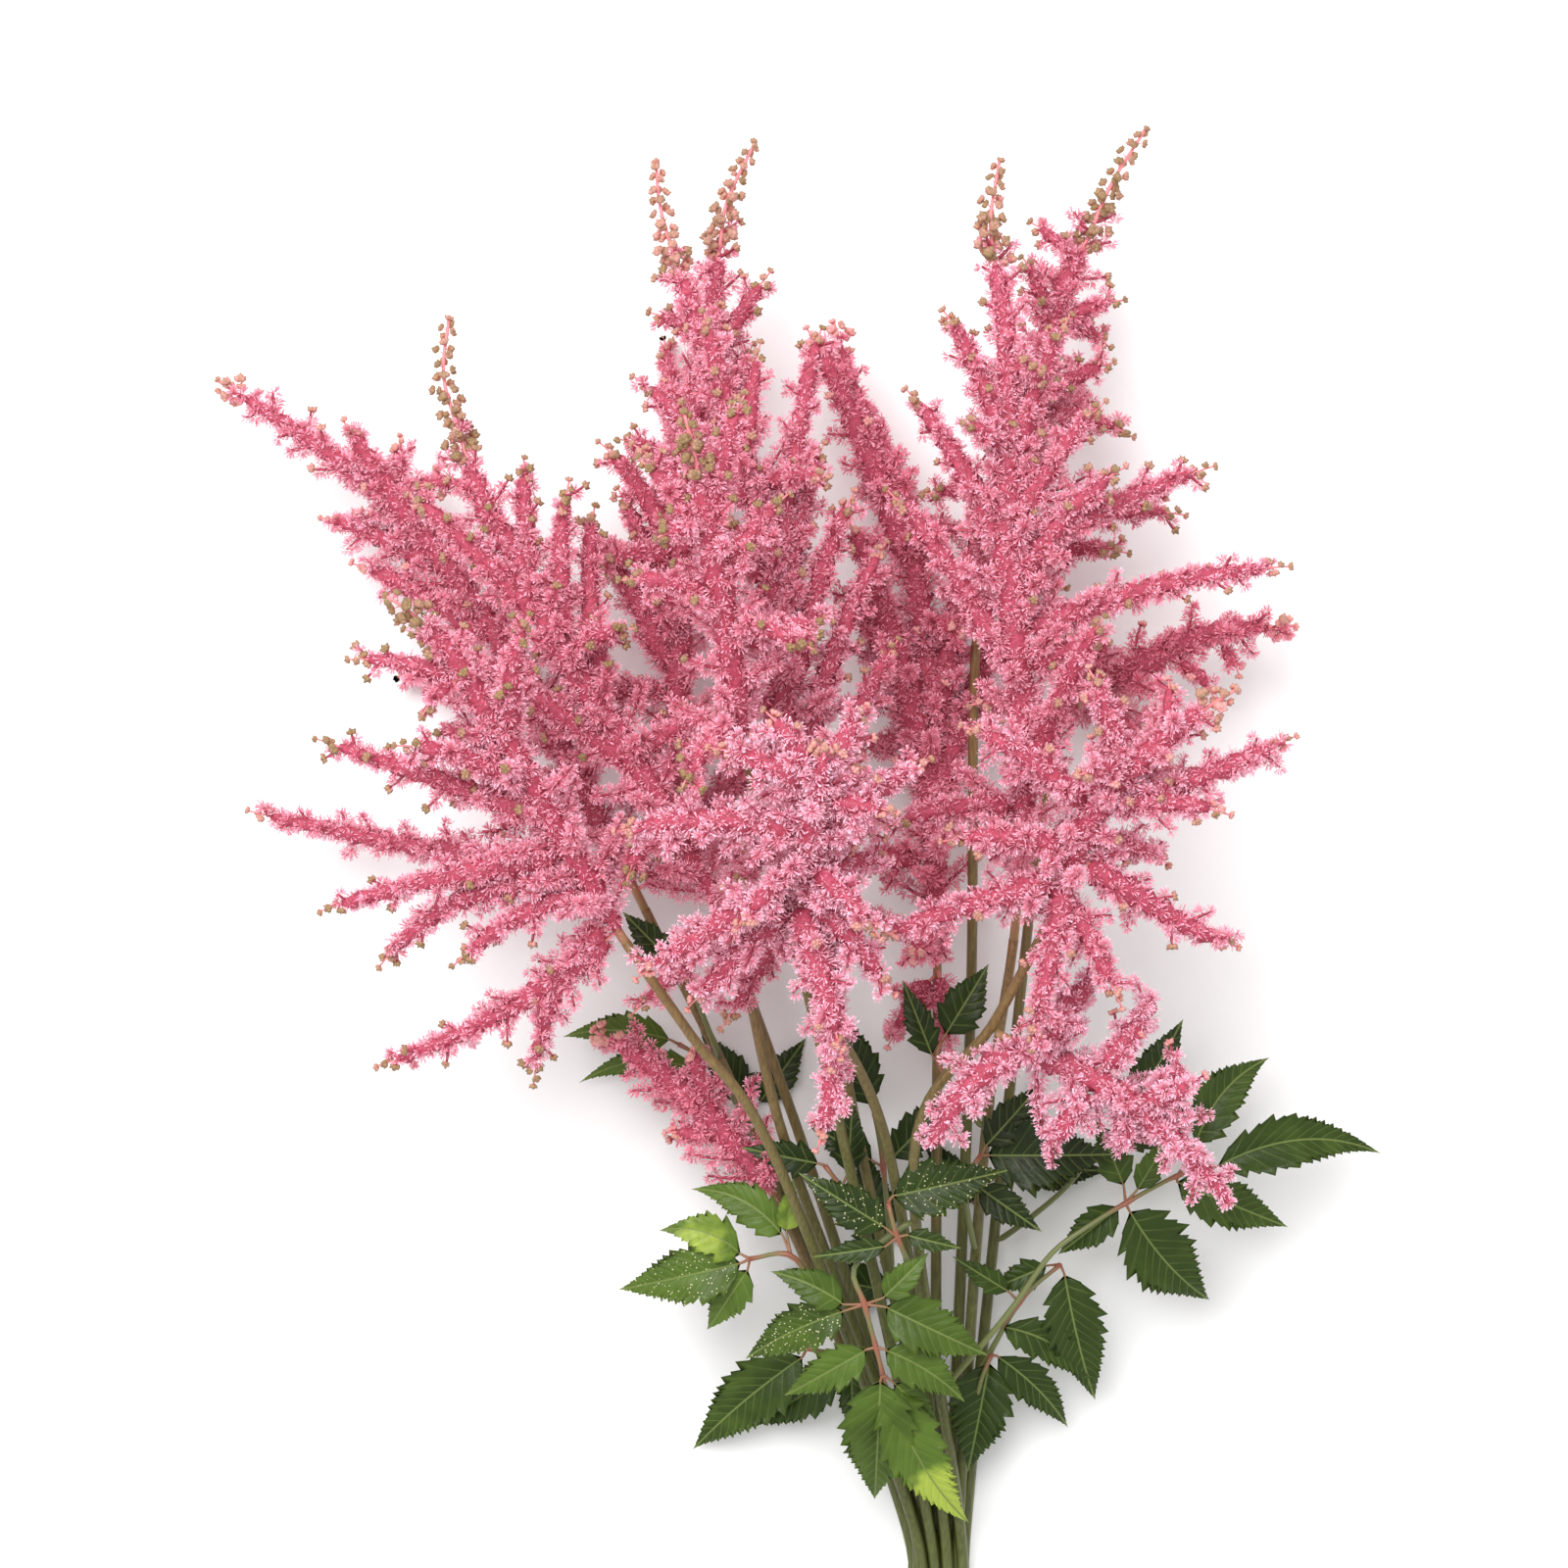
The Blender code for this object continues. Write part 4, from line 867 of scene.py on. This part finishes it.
def best_branch(room, owner, route, start, share, spread):
    """The side branch at this share of the rachis that reaches furthest into free room. Among those that
    clear the other pieces and the floor, its score is the highest: its length + 2.5 times its gap to the
    head's own branches, up to 6, + 4 times how bare the place is from above."""
    place = start + share * (route.length - start)
    root = route.at(place)
    lean = route.direction(place)
    across = unit(np.cross(lean, (0.3, 0.2, 1)))
    over = np.cross(across, lean)
    others = room.owners != owner
    best, best_score = None, 0
    for turn in np.linspace(0, 2 * math.pi, TRIED_TURNS, endpoint=False):
        outward = math.cos(turn) * across + math.sin(turn) * over
        for rise in np.radians(TRIED_RISES):
            heading = math.cos(rise) * lean + math.sin(rise) * outward
            for reach in TRIED_REACHES:
                length = spread * (1 - share) ** SPREAD_TAPER * reach
                bend = bow(root, lean, root + length * heading)
                centres, radii = rings_of(bend)
                if (centres[1:, 2] - radii[1:]).min() < GAP:
                    continue
                if room.clearance(centres, radii, others) < GAP:
                    continue
                outer = len(centres) // 2
                own = room.clearance(centres[outer:], radii[outer:], ~others)
                bare = room.bare_above(centres[1:])
                score = length + APART_WEIGHT * min(own, APART_ENOUGH) + BARE_WEIGHT * bare
                if own > -OWN_OVERLAP and score > best_score:
                    best, best_score = bend, score
    return best


def side_branches():
    """The bows of each flower head's side branches: first those that are given, then, for each flower head
    in turn, one more, at the share lowest + span frac(0.618 turn + shift number) of the rachis."""
    room = Room()
    for number, leaf in enumerate(leaves.values()):
        for line, radius in leaf_room(*leaf):
            fine = Route(line)
            centres = fine.at(np.arange(0, fine.length, ROOM_STEP))
            room.take(centres, np.full(len(centres), radius), -1 - number)
    bows = {}
    for number, (name, plume) in enumerate(PLUMES.items()):
        route, start = routes[name]
        centres = route.at(np.arange(0, start, ROOM_STEP))
        if start:
            room.take(centres, np.full(len(centres), SOLID_STEM_RADIUS), len(PLUMES) + number)
        room.take(*rachis_room(route, start), number)
        bows[name] = []
        for share, tip, *pull in plume["branches"]:
            place = start + share * (route.length - start)
            bend = bow(route.at(place), route.direction(place), np.array(tip, float), *pull)
            bows[name].append(bend)
            room.take(*rings_of(bend), number)
    for turn in range(max(plume["more"] for plume in PLUMES.values())):
        for number, (name, plume) in enumerate(PLUMES.items()):
            if turn >= plume["more"]:
                continue
            share = LOWEST_SHARE + SHARE_SPAN * ((turn * GOLDEN + number * PLUME_SHIFT) % 1)
            bend = best_branch(room, number, *routes[name], share, plume["spread"])
            if bend:
                bows[name].append(bend)
                room.take(*rings_of(bend), number)
    return bows


def frames_along(line):
    """The heading at each point of a line, and two directions square to it."""
    along = unit(np.gradient(line, axis=0))
    reference = np.eye(3)[np.argmin(np.abs(line[-1] - line[0]))]
    side = unit(np.cross(along, reference))
    return along, side, np.cross(side, along)


def square_to(headings):
    """Two directions square to each heading, the first also square to the axis that it leans to least."""
    side = unit(np.cross(headings, np.eye(3)[np.argmin(np.abs(headings), axis=1)]))
    return side, np.cross(headings, side)


def twigs(line, places, lengths, rises, turns):
    """Roots, headings and tips of straight twigs at these places along a line, in millimetres from its start,
    and the line's own headings there. A twig heads along cos(rise) line + sin(rise) (cos turn side + sin turn
    upright)."""
    run = np.append(0, np.cumsum(np.linalg.norm(np.diff(line, axis=0), axis=1)))
    along, side, upright = (unit(read_off(direction, run, places)) for direction in frames_along(line))
    heading = swing(rises, along, swing(turns, side, upright))
    root = read_off(line, run, places)
    return root, heading, root + lengths[:, None] * heading, along


class Axis:
    """A stretch that bears florets: its points, how far the florets stand out at each, how thick it is
    itself, its bare foot and the buds at its tip, both as lengths, and its order: rachis, branch or sprig."""

    def __init__(self, line, stand, radii, foot, buds, order):
        self.line = line
        self.length = np.linalg.norm(np.diff(line, axis=0), axis=1).sum()
        self.share = np.linspace(0, 1, len(line))
        self.stand = stand
        self.radii = np.linspace(*radii, len(line))
        self.foot = foot
        self.buds = buds
        self.order = order


def head_axes(name, bends, chance):
    """Every axis of a flower head. Sprigs stand at the golden angle on the rachis and on the branches, and
    the higher on the head one is, the likelier it ends in buds. On the rachis they are as long as longest
    (1.04 - s)^0.62, on a branch a little longer than its florets stand out."""
    route, start = routes[name]
    length = route.length - start
    plume = PLUMES[name]
    share = np.linspace(0, 1, round(length / AXIS_STEP))
    line = route.at(start + share * length)
    stand = OWN_FLORETS * np.interp(share, *zip(*CORE_RADII))
    axes = [Axis(line, stand, RACHIS_RADII, BARE_SHARE * length, plume["buds"], 0)]
    places = np.arange(SPRIGS_FROM * length, length - 0.75 * plume["buds"], SPRIG_PITCH)
    sizes = SPRIG_LONGEST * (SPRIG_TAPER[0] - places / length) ** SPRIG_TAPER[1]
    grow = [(line, places, sizes, places / length)]
    for bend in bends:
        reach = np.linalg.norm(bend[2] - bend[0])
        high = np.argmin(np.linalg.norm(line - bend[0], axis=1)) / len(line)
        share = np.linspace(0, 1, max(8, round(reach / AXIS_STEP)))
        branch = on_bow(bend, share)
        stand = plume["full"] * branch_radius(reach, share)
        ends = min(BRANCH_BUDS[0] * reach, BRANCH_BUDS[1]) * (plume["buds"] > 0)
        axes.append(Axis(branch, OWN_FLORETS * stand, BRANCH_RADII, BRANCH_FOOT, ends, 1))
        places = np.arange(BRANCH_FOOT + 2, reach - 0.6 * ends, SPRIG_STEP)
        sizes = SPRIG_ON_BRANCH * np.interp(places / reach, share, stand) - 1.5
        grow.append((branch, places, sizes, 0.6 * high + 0.5 * places / reach))
    for line, places, sizes, high in grow:
        count = len(places)
        lengths = sizes * chance.uniform(*SPRIG_SIZES, count)
        turns = GOLDEN_ANGLE * np.arange(count) + chance.uniform(0, 6) + chance.normal(0, 0.25, count)
        rises = np.radians(chance.uniform(*SPRIG_RISES, count))
        root, heading, tip, along = twigs(line, places, lengths, rises, turns)
        share = np.linspace(0, 1, 5)
        stand = SPRIG_STAND[0] + (SPRIG_STAND[1] - SPRIG_STAND[0]) * share
        budding = chance.uniform(0, 1, count) < plume["brown"] * high
        for a, b, lean, size, ends in zip(root, tip, along, lengths, budding):
            sprig = on_bow((a, (a + b) / 2 - 0.1 * size * lean, b), share)
            axes.append(Axis(sprig, stand, SPRIG_RADII, SPRIG_FOOT, SPRIG_BUDS * ends, 2))
    return axes


def needles(roots, tips, radius):
    """Thin four-faced needles from roots to tips: three corners at this radius round the root, one tip."""
    side, upright = square_to(unit(tips - roots))
    ring = swing(circle(3), side[:, None], upright[:, None])
    points = np.concatenate([roots[:, None] + radius * ring, tips[:, None]], axis=1)
    faces = np.array([(0, 1, 3), (1, 2, 3), (2, 0, 3), (0, 2, 1)])
    return points.reshape(-1, 3), (faces + 4 * np.arange(len(roots))[:, None, None]).reshape(-1, 3)


for name, plume in PLUMES.items():
    if not plume["slot"]:
        (stem, y), *rest = plume["rachis"]
        root = root_beside(solid_stem_line(*routes[stem]), y, rest[0], STEM_TOP_RADIUS)
        routes[name] = Route([root] + rest), 0
bows = side_branches()

# The florets: tens of thousands of tiny flowers, tufted on short twigs all round the axes, each with five
# narrow petals and a few hair-thin stamens, rose at the base and pale lilac pink at the tip; this is partly
# their own colour and partly painted light and shade, deeper at the bases and deep in the plumes, palest at
# the lit tips. Underneath, the florets sit so close that they read as one rose-red body, a ragged core that
# the tufts stand out of, whose deep rose is painted shade.
TUFT_AREA = 56
TWIG_RADIUS = 0.3
TUFT_SHARES = (0.5, 0.7, 0.86, 1.0)
FLORET_OUT = 0.6
PETALS = 5
STAMENS = 3
PETAL_LENGTH = 4.1
PETAL_WIDTH = 0.78
STAMEN_LENGTH = 4.6
STAMEN_WIDTH = 0.4
PETAL_SPREAD = (0.46, 0.2)
PETAL_LENGTHS = (0.72, 1.15)
PETAL_WIDTHS = (0.8, 1.2)
PETAL_STANDS_IN = 2.6
CORE_SHARE = 0.55
CORE_STEP = 4.2
CORE_CORNERS = 6
RIDGE_SHARE = 0.5
RAGGED_BY = 0.15
# Painted shade: the deep rose of the cores, sprigs and twigs, where the plumes are deep in shade.
CORE_SHADE_COLOURS = [(0.3, (0.324, 0.042, 0.078)), (0.7, (0.54, 0.07, 0.13))]
YOUNG_STRETCH = 14
TWIG_RISES = (50, 84)
MAP_WOBBLE = 0.012
AXIS_CORNERS = (8, 5, 3)
TWIG_SIZES = (0.75, 1.15)
# Painted light and shade: the deep ramp is the petal colour as in shade and the pale ramp the same as lit,
# its palest tips standing for highlights; the darker bases are partly painted shade, partly the petals' own
# rose.
SHADED_DEEP_PETAL = [(0, (0.57, 0.045, 0.10)), (0.45, (0.74, 0.13, 0.215)), (1, (0.87, 0.26, 0.37))]
LIT_PALE_PETAL = [(0, (0.74, 0.13, 0.235)), (0.4, (0.87, 0.28, 0.41)), (1, (0.97, 0.66, 0.79))]


def mapped_skin(name, sheen, left, right):
    """The colour depends on the piece's own map alone: up the map lies how far along a petal or a bud, which
    both colour ramps read, and across it how far the colour has gone from the left ramp to the right one."""
    skin = Skin(name, 0.5)
    own = skin.nodes.new("ShaderNodeUVMap")
    own.uv_map = "OFBake"
    parts = skin.nodes.new("ShaderNodeSeparateXYZ")
    skin.feed(parts, {"Vector": own.outputs["UV"]})
    skin.feed(skin.shader, {"Sheen Weight": sheen})
    left, right = (skin.ramp(parts.outputs["Y"], stops) for stops in (left, right))
    return skin.coloured(skin.mixed(parts.outputs["X"], left, right))


def own_map(piece, across, up):
    """Stores the piece's own map, one pair per point, read at each corner of its triangles."""
    corners = np.empty(len(piece.data.loops), np.int32)
    piece.data.loops.foreach_get("vertex_index", corners)
    layer = piece.data.uv_layers.new(name="OFBake")
    pairs = np.stack([np.asarray(across)[corners], np.asarray(up)[corners]], 1)
    layer.data.foreach_set("uv", pairs.astype(np.float32).ravel())


def florets_on(axis, chance):
    """Tufts all round an axis. The twigs stand at the golden angle, one to every TUFT_AREA of the surface
    that the florets make, and each carries a tuft of florets, the last one on its tip. Gives root and tip of
    each twig, and place, facing, size and share of the twig of each floret."""
    bearing = axis.length - axis.buds
    fine = np.linspace(axis.foot, bearing, 60)
    girth = 2 * math.pi * np.interp(fine / axis.length, axis.share, axis.stand)
    area = np.append(0, np.cumsum((girth[1:] + girth[:-1]) / 2 * np.diff(fine)))
    count = max(2, round(area[-1] / TUFT_AREA))
    steps = (np.arange(count) + chance.uniform(0.2, 0.8, count)) / count
    places = np.interp(steps * area[-1], area, fine)
    stands = np.interp(places / axis.length, axis.share, axis.stand)
    lengths = np.maximum(stands - PETAL_STANDS_IN, 0.8) * chance.uniform(*TWIG_SIZES, count)
    turns = GOLDEN_ANGLE * np.arange(count) + chance.uniform(0, 6) + chance.normal(0, 0.15, count)
    rises = np.radians(chance.uniform(*TWIG_RISES, count))
    root, heading, tip, _ = twigs(axis.line, places, lengths, rises, turns)
    tuft = len(TUFT_SHARES)
    owner = np.repeat(np.arange(count), tuft)
    rank = np.tile(np.arange(tuft), count)
    share = np.array(TUFT_SHARES)[rank]
    ahead = heading[owner]
    turn = GOLDEN_ANGLE * rank + np.repeat(chance.uniform(0, 2 * math.pi, count), tuft)
    lean = np.where(rank < tuft - 1, 1.0, 0.2)[:, None]
    facing = unit(0.75 * ahead + lean * swing(turn, *square_to(ahead)))
    place = root[owner] + (share * lengths[owner])[:, None] * ahead + FLORET_OUT * facing
    young = np.clip((bearing - places[owner]) / YOUNG_STRETCH, 0, 1)
    return (root, tip), place, facing, 0.7 + 0.3 * young, share


# The core fills each plume where it is deep in shade and wears the painted-shade deep rose.
def ragged_shade_core(axis, chance):
    """A closed tube round an axis at CORE_SHARE of how far the florets stand out. Every other corner, by
    turns from ring to ring, stands out by half as much again."""
    rings = max(3, round((axis.length - axis.buds - axis.foot) / CORE_STEP))
    share = np.linspace(axis.foot, axis.length - axis.buds, rings) / axis.length
    centres = read_off(axis.line, axis.share, share)
    radii = CORE_SHARE * np.interp(share, axis.share, axis.stand)
    out = (np.arange(rings)[:, None] + np.arange(CORE_CORNERS)) % 2
    ragged = 1 + RIDGE_SHARE * out + chance.uniform(-RAGGED_BY, RAGGED_BY, out.shape)
    radii[[0, -1]] *= 0.5
    return swept(centres[None], radii[None], CORE_CORNERS, ragged=ragged[None])


def petals_of(place, facing, size, chance):
    """Petals and stamens as narrow wedges that share one point, the middle of their floret, and are widest at
    the outer end. Each heads along cos(a) facing + sin(a) radial, and its end is square to that."""
    count = len(place)
    ray = np.arange(PETALS + STAMENS)
    petal = ray < PETALS
    side, over = (direction[:, None] for direction in square_to(facing))
    turn = ray * 2 * math.pi / np.where(petal, PETALS, STAMENS) + chance.uniform(0, 2 * math.pi, (count, 1))
    turn = turn + chance.normal(0, 0.25, turn.shape)
    across = swing(turn, over, -side)
    open_by = chance.normal(*PETAL_SPREAD, turn.shape) * np.where(petal, 1, 0.7) * math.pi / 2
    heading = swing(open_by, facing[:, None], swing(turn, side, over))
    length = np.where(petal, PETAL_LENGTH, STAMEN_LENGTH) * size[:, None]
    length = length * chance.uniform(*PETAL_LENGTHS, turn.shape)
    width = np.where(petal, PETAL_WIDTH, STAMEN_WIDTH) * chance.uniform(*PETAL_WIDTHS, turn.shape)
    end = place[:, None] + length[..., None] * heading
    half = 0.5 * width[..., None] * across
    points = np.concatenate([place[:, None], end - half, end + half], axis=1)
    rays = len(ray)
    faces = np.stack([np.zeros(rays, int), 1 + ray, 1 + rays + ray], 1)
    return points.reshape(-1, 3), (faces + (1 + 2 * rays) * np.arange(count)[:, None, None]).reshape(-1, 3)


def shade_core_skin_material():
    """Painted shade: deep rose that stands for the shade among the packed florets, mottled by fine noise."""
    skin = Skin("shade_core_skin", 0.7)
    return skin.coloured(skin.ramp(skin.noise(skin.place(), 600), CORE_SHADE_COLOURS))


petal_skin = mapped_skin("petal_skin", 0.25, SHADED_DEEP_PETAL, LIT_PALE_PETAL)
rachis_skin = ramped_skin("rachis_skin", 0.45, "thin", RACHIS_COLOURS)
shade_core_skin = shade_core_skin_material()
heads = {}
rays = PETALS + STAMENS
for number, (name, plume) in enumerate(PLUMES.items()):
    chance = np.random.default_rng(100 + number)
    axes = heads[name] = head_axes(name, bows[name], chance)
    twig_lines = []
    flowers = []
    pales = []
    for axis in axes:
        twig, *flower = florets_on(axis, chance)
        twig_lines.append(twig)
        flowers.append(flower)
        pales.append(np.full(len(flower[0]), plume["pale"] + chance.normal(0, 0.08)))
    place, facing, size, share = (np.concatenate(values) for values in zip(*flowers))
    points, triangles = petals_of(place, facing, size, chance)
    florets = skin_of("florets_" + name, points, triangles, [petal_skin], smooth=False)
    # Paleness is partly painted light and shade: florets low on their twigs, near the axis, are deeper and
    # those at the tips paler; the rest is random tone.
    pale = np.concatenate(pales) + 0.35 * (share - 0.7) + chance.normal(0, 0.12, len(share))
    pale = np.clip(pale, 0.03, 0.97)
    wobble = np.tile(np.repeat((0, MAP_WOBBLE, -MAP_WOBBLE), (1, rays, rays)), len(pale))
    up = np.tile(np.repeat((0.02, 0.98), (1, 2 * rays)), len(pale))
    own_map(florets, np.repeat(pale, 1 + 2 * rays) + wobble, up)
    stands_for(florets, "plume_" + name)

    pile = Pile()
    # The sprigs, like the cores and the twigs, wear the painted-shade deep rose; rachis and branches are
    # salmon red.
    for axis in axes:
        points, triangles, share = swept(axis.line[None], axis.radii[None], AXIS_CORNERS[axis.order])
        thin = share if axis.order == 0 else 0.3 + 0.7 * share
        pile.add(points, triangles, int(axis.order == 2), thin=thin)
        if axis.order < 2:
            points, triangles, _ = ragged_shade_core(axis, chance)
            pile.add(points, triangles, 1, thin=1)
    roots, tips = (np.vstack(ends) for ends in zip(*twig_lines))
    points, triangles = needles(roots, tips, TWIG_RADIUS)
    pile.add(points, triangles, 1, thin=1)
    stands_for(pile.piece("branches_" + name, [rachis_skin, shade_core_skin]), "plume_" + name)

# The buds: fists of small pointed buds on short stalks, spaced along a spike at each flower head's tip and
# packed at the ends of its branches and sprigs. They are cream to olive brown at the top of the bunch, and
# pink lower down.
SPIKE_PITCH = 2.1
SPIKE_REACH = (8.0, 2.2)
END_PITCH = 2.6
END_REACH = (2.6, 0.8)
LONG_STALK = 4.5
STALK_RISES = (48, 75)
MIDWAY = 0.5
BUDS_IN_FIST = 7
BUD_LENGTH = 3.3
BUD_RADIUS = 1.25
BUD_STALK_RADIUS = 0.4
ROUND_BUD = ((0.25, 0.85), (0.62, 1.0))
PLAIN_BUD = ((0.45, 1.0),)
BUD_GROUPS = ((0, SPIKE_PITCH, SPIKE_REACH, BUDS_IN_FIST, 5, ROUND_BUD, 1.0),
              (1, END_PITCH, END_REACH, BUDS_IN_FIST - 1, 5, ROUND_BUD, 0.85),
              (2, END_PITCH, END_REACH, BUDS_IN_FIST - 1, 4, PLAIN_BUD, 0.85))
BROWN_BUD = [(0, (0.50, 0.15, 0.11)), (0.3, (0.46, 0.29, 0.13)), (0.7, (0.27, 0.175, 0.07)),
             (1, (0.16, 0.08, 0.035))]
PINK_BUD = [(0, (0.66, 0.12, 0.16)), (0.4, (0.82, 0.28, 0.32)), (0.8, (0.80, 0.38, 0.35)),
            (1, (0.42, 0.13, 0.11))]


def fists_on(axis, pitch, reach, chance):
    """Roots and tips of the short stalks that carry the fists of buds over the last stretch of an axis, and
    the size of each fist. A long stalk bears a second fist midway."""
    places = np.arange(axis.length - axis.buds, axis.length - 0.5, pitch)
    share = (places - axis.length + axis.buds) / axis.buds
    lengths = np.interp(share, (0, 1), reach) * chance.uniform(0.7, 1.15, len(places))
    turns = GOLDEN_ANGLE * np.arange(len(places)) + chance.uniform(0, 6)
    rises = np.radians(chance.uniform(*STALK_RISES, len(places)))
    root, heading, tip, _ = twigs(axis.line, places, lengths, rises, turns)
    tip[-1] = axis.line[-1] + 0.5 * heading[-1]
    sizes = 1.15 - 0.4 * share
    long = lengths > LONG_STALK
    between = root[long] + MIDWAY * (tip - root)[long]
    return np.vstack([root, root[long]]), np.vstack([tip, between]), np.append(sizes, 0.85 * sizes[long])


def buds_at(roots, tips, sizes, fist, corners, profile, chance):
    """Ovoid buds that fan out from each stalk's tip, each heading along ahead + fan (cos turn side + sin turn
    over). A bud is its base point, a ring of corners at each place of the profile, given as (share of its
    length, share of its radius), and its point. Gives points, triangles, how far along its bud each point
    lies, and how many points a bud has."""
    ahead = np.repeat(unit(tips - roots), fist, axis=0)
    place = np.repeat(tips, fist, axis=0)
    size = np.repeat(sizes, fist) * chance.uniform(0.8, 1.2, len(place))
    rank = np.tile(np.arange(fist), len(tips))
    turn = rank * 2 * math.pi / (fist - 1) + np.repeat(chance.uniform(0, 6, len(tips)), fist)
    fan = np.where(rank == fist - 1, 0.1, 1.0) * chance.uniform(0.8, 1.5, len(rank))
    heading = unit(ahead + fan[:, None] * swing(turn, *square_to(ahead)))
    base = place - 0.6 * size[:, None] * ahead
    across, upright = square_to(heading)
    ring = swing(circle(corners), across[:, None], upright[:, None])
    steps = np.array(profile)
    centres = base[:, None] + (BUD_LENGTH * size[:, None] * steps[:, 0])[..., None] * heading[:, None]
    radii = BUD_RADIUS * size[:, None] * steps[:, 1]
    rings = centres[:, :, None] + radii[..., None, None] * ring[:, None]
    point = base + (BUD_LENGTH * size)[:, None] * heading
    points = np.concatenate([base[:, None], rings.reshape(len(base), -1, 3), point[:, None]], axis=1)
    j = np.arange(corners)
    k = (j + 1) % corners
    last = 1 + (len(steps) - 1) * corners
    faces = [np.stack([0 * j, 1 + k, 1 + j], 1), np.stack([last + j, last + k, 0 * j + last + corners], 1)]
    for low in range(1, last, corners):
        faces += [np.stack([low + j, low + k, low + corners + j], 1),
                  np.stack([low + k, low + corners + k, low + corners + j], 1)]
    each = points.shape[1]
    every = (np.vstack(faces) + each * np.arange(len(base))[:, None, None]).reshape(-1, 3)
    along = np.tile(np.concatenate([[0], np.repeat(steps[:, 0], corners), [1]]), len(base))
    return points.reshape(-1, 3), every, along, each


bud_skin = mapped_skin("bud_skin", 0, PINK_BUD, BROWN_BUD)
for number, (name, plume) in enumerate(PLUMES.items()):
    chance = np.random.default_rng(300 + number)
    pile = Pile()
    for order, pitch, reach, fist, corners, profile, scale in BUD_GROUPS:
        stalks = [fists_on(axis, pitch, reach, chance) for axis in heads[name]
                  if axis.order == order and axis.buds > 1]
        if not stalks:
            continue
        roots, tips, sizes = (np.concatenate(values) for values in zip(*stalks))
        points, triangles, along, each = buds_at(roots, tips, sizes * scale, fist, corners, profile, chance)
        brown = np.repeat(plume["brown"] + chance.normal(0, 0.12, len(sizes)), fist)
        brown = np.clip(brown + chance.normal(0, 0.1, len(brown)), 0.03, 0.97)
        wobble = np.tile(MAP_WOBBLE * (-1.0) ** np.arange(each), len(brown))
        pile.add(points, triangles, across=np.repeat(brown, each) + wobble, up=0.02 + 0.96 * along)
        points, triangles = needles(roots, tips, BUD_STALK_RADIUS)
        pile.add(points, triangles, across=np.tile((0.02, 0.04, 0.03, 0.03), len(roots)),
                 up=np.tile((0.05, 0.05, 0.07, 0.3), len(roots)))
    if not pile.count:
        continue
    cluster = pile.piece("buds_" + name, [bud_skin])
    own_map(cluster, np.concatenate(pile.values["across"]), np.concatenate(pile.values["up"]))
    stands_for(cluster, "plume_" + name)

# The floor: a wide pale sheet under the bunch, not part of it. The light is soft and white from all round,
# with one wide lamp above, a little towards the flowers, that gives the upper florets their brightness.
FLOOR_HALF = 4.0
FLOOR_WHITE = (0.93, 0.93, 0.93)
SKY_WHITE = (1, 1, 1)
SKY_STRENGTH = 0.85
LAMP_POWER = 60
LAMP_SIZE = 1.6
LAMP_PLACE = (-0.5, 0.9, 2.3)
LAMP_TILT = (math.radians(-21), math.radians(-12), 0)

corners = [(FLOOR_HALF * x, FLOOR_HALF * y, 0) for x, y in ((-1, -1), (1, -1), (1, 1), (-1, 1))]
floor_mesh = bpy.data.meshes.new("floor")
floor_mesh.from_pydata(corners, [], [range(4)])
floor_mesh.materials.append(Skin("floor_paper", 0.9).coloured(FLOOR_WHITE))
floor = bpy.data.objects.new("floor", floor_mesh)
bpy.context.scene.collection.objects.link(floor)
floor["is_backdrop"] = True

sky = bpy.data.worlds.new("sky")
sky.use_nodes = True
sky.node_tree.nodes["Background"].inputs["Color"].default_value = (*SKY_WHITE, 1)
sky.node_tree.nodes["Background"].inputs["Strength"].default_value = SKY_STRENGTH
bpy.context.scene.world = sky
lamp_light = bpy.data.lights.new("lamp", "AREA")
lamp_light.energy = LAMP_POWER
lamp_light.size = LAMP_SIZE
lamp = bpy.data.objects.new("lamp", lamp_light)
lamp.location = LAMP_PLACE
lamp.rotation_euler = LAMP_TILT
bpy.context.scene.collection.objects.link(lamp)

sizes = {"cad": [list(corner) for corner in cad_box], "visual": [list(corner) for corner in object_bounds()]}
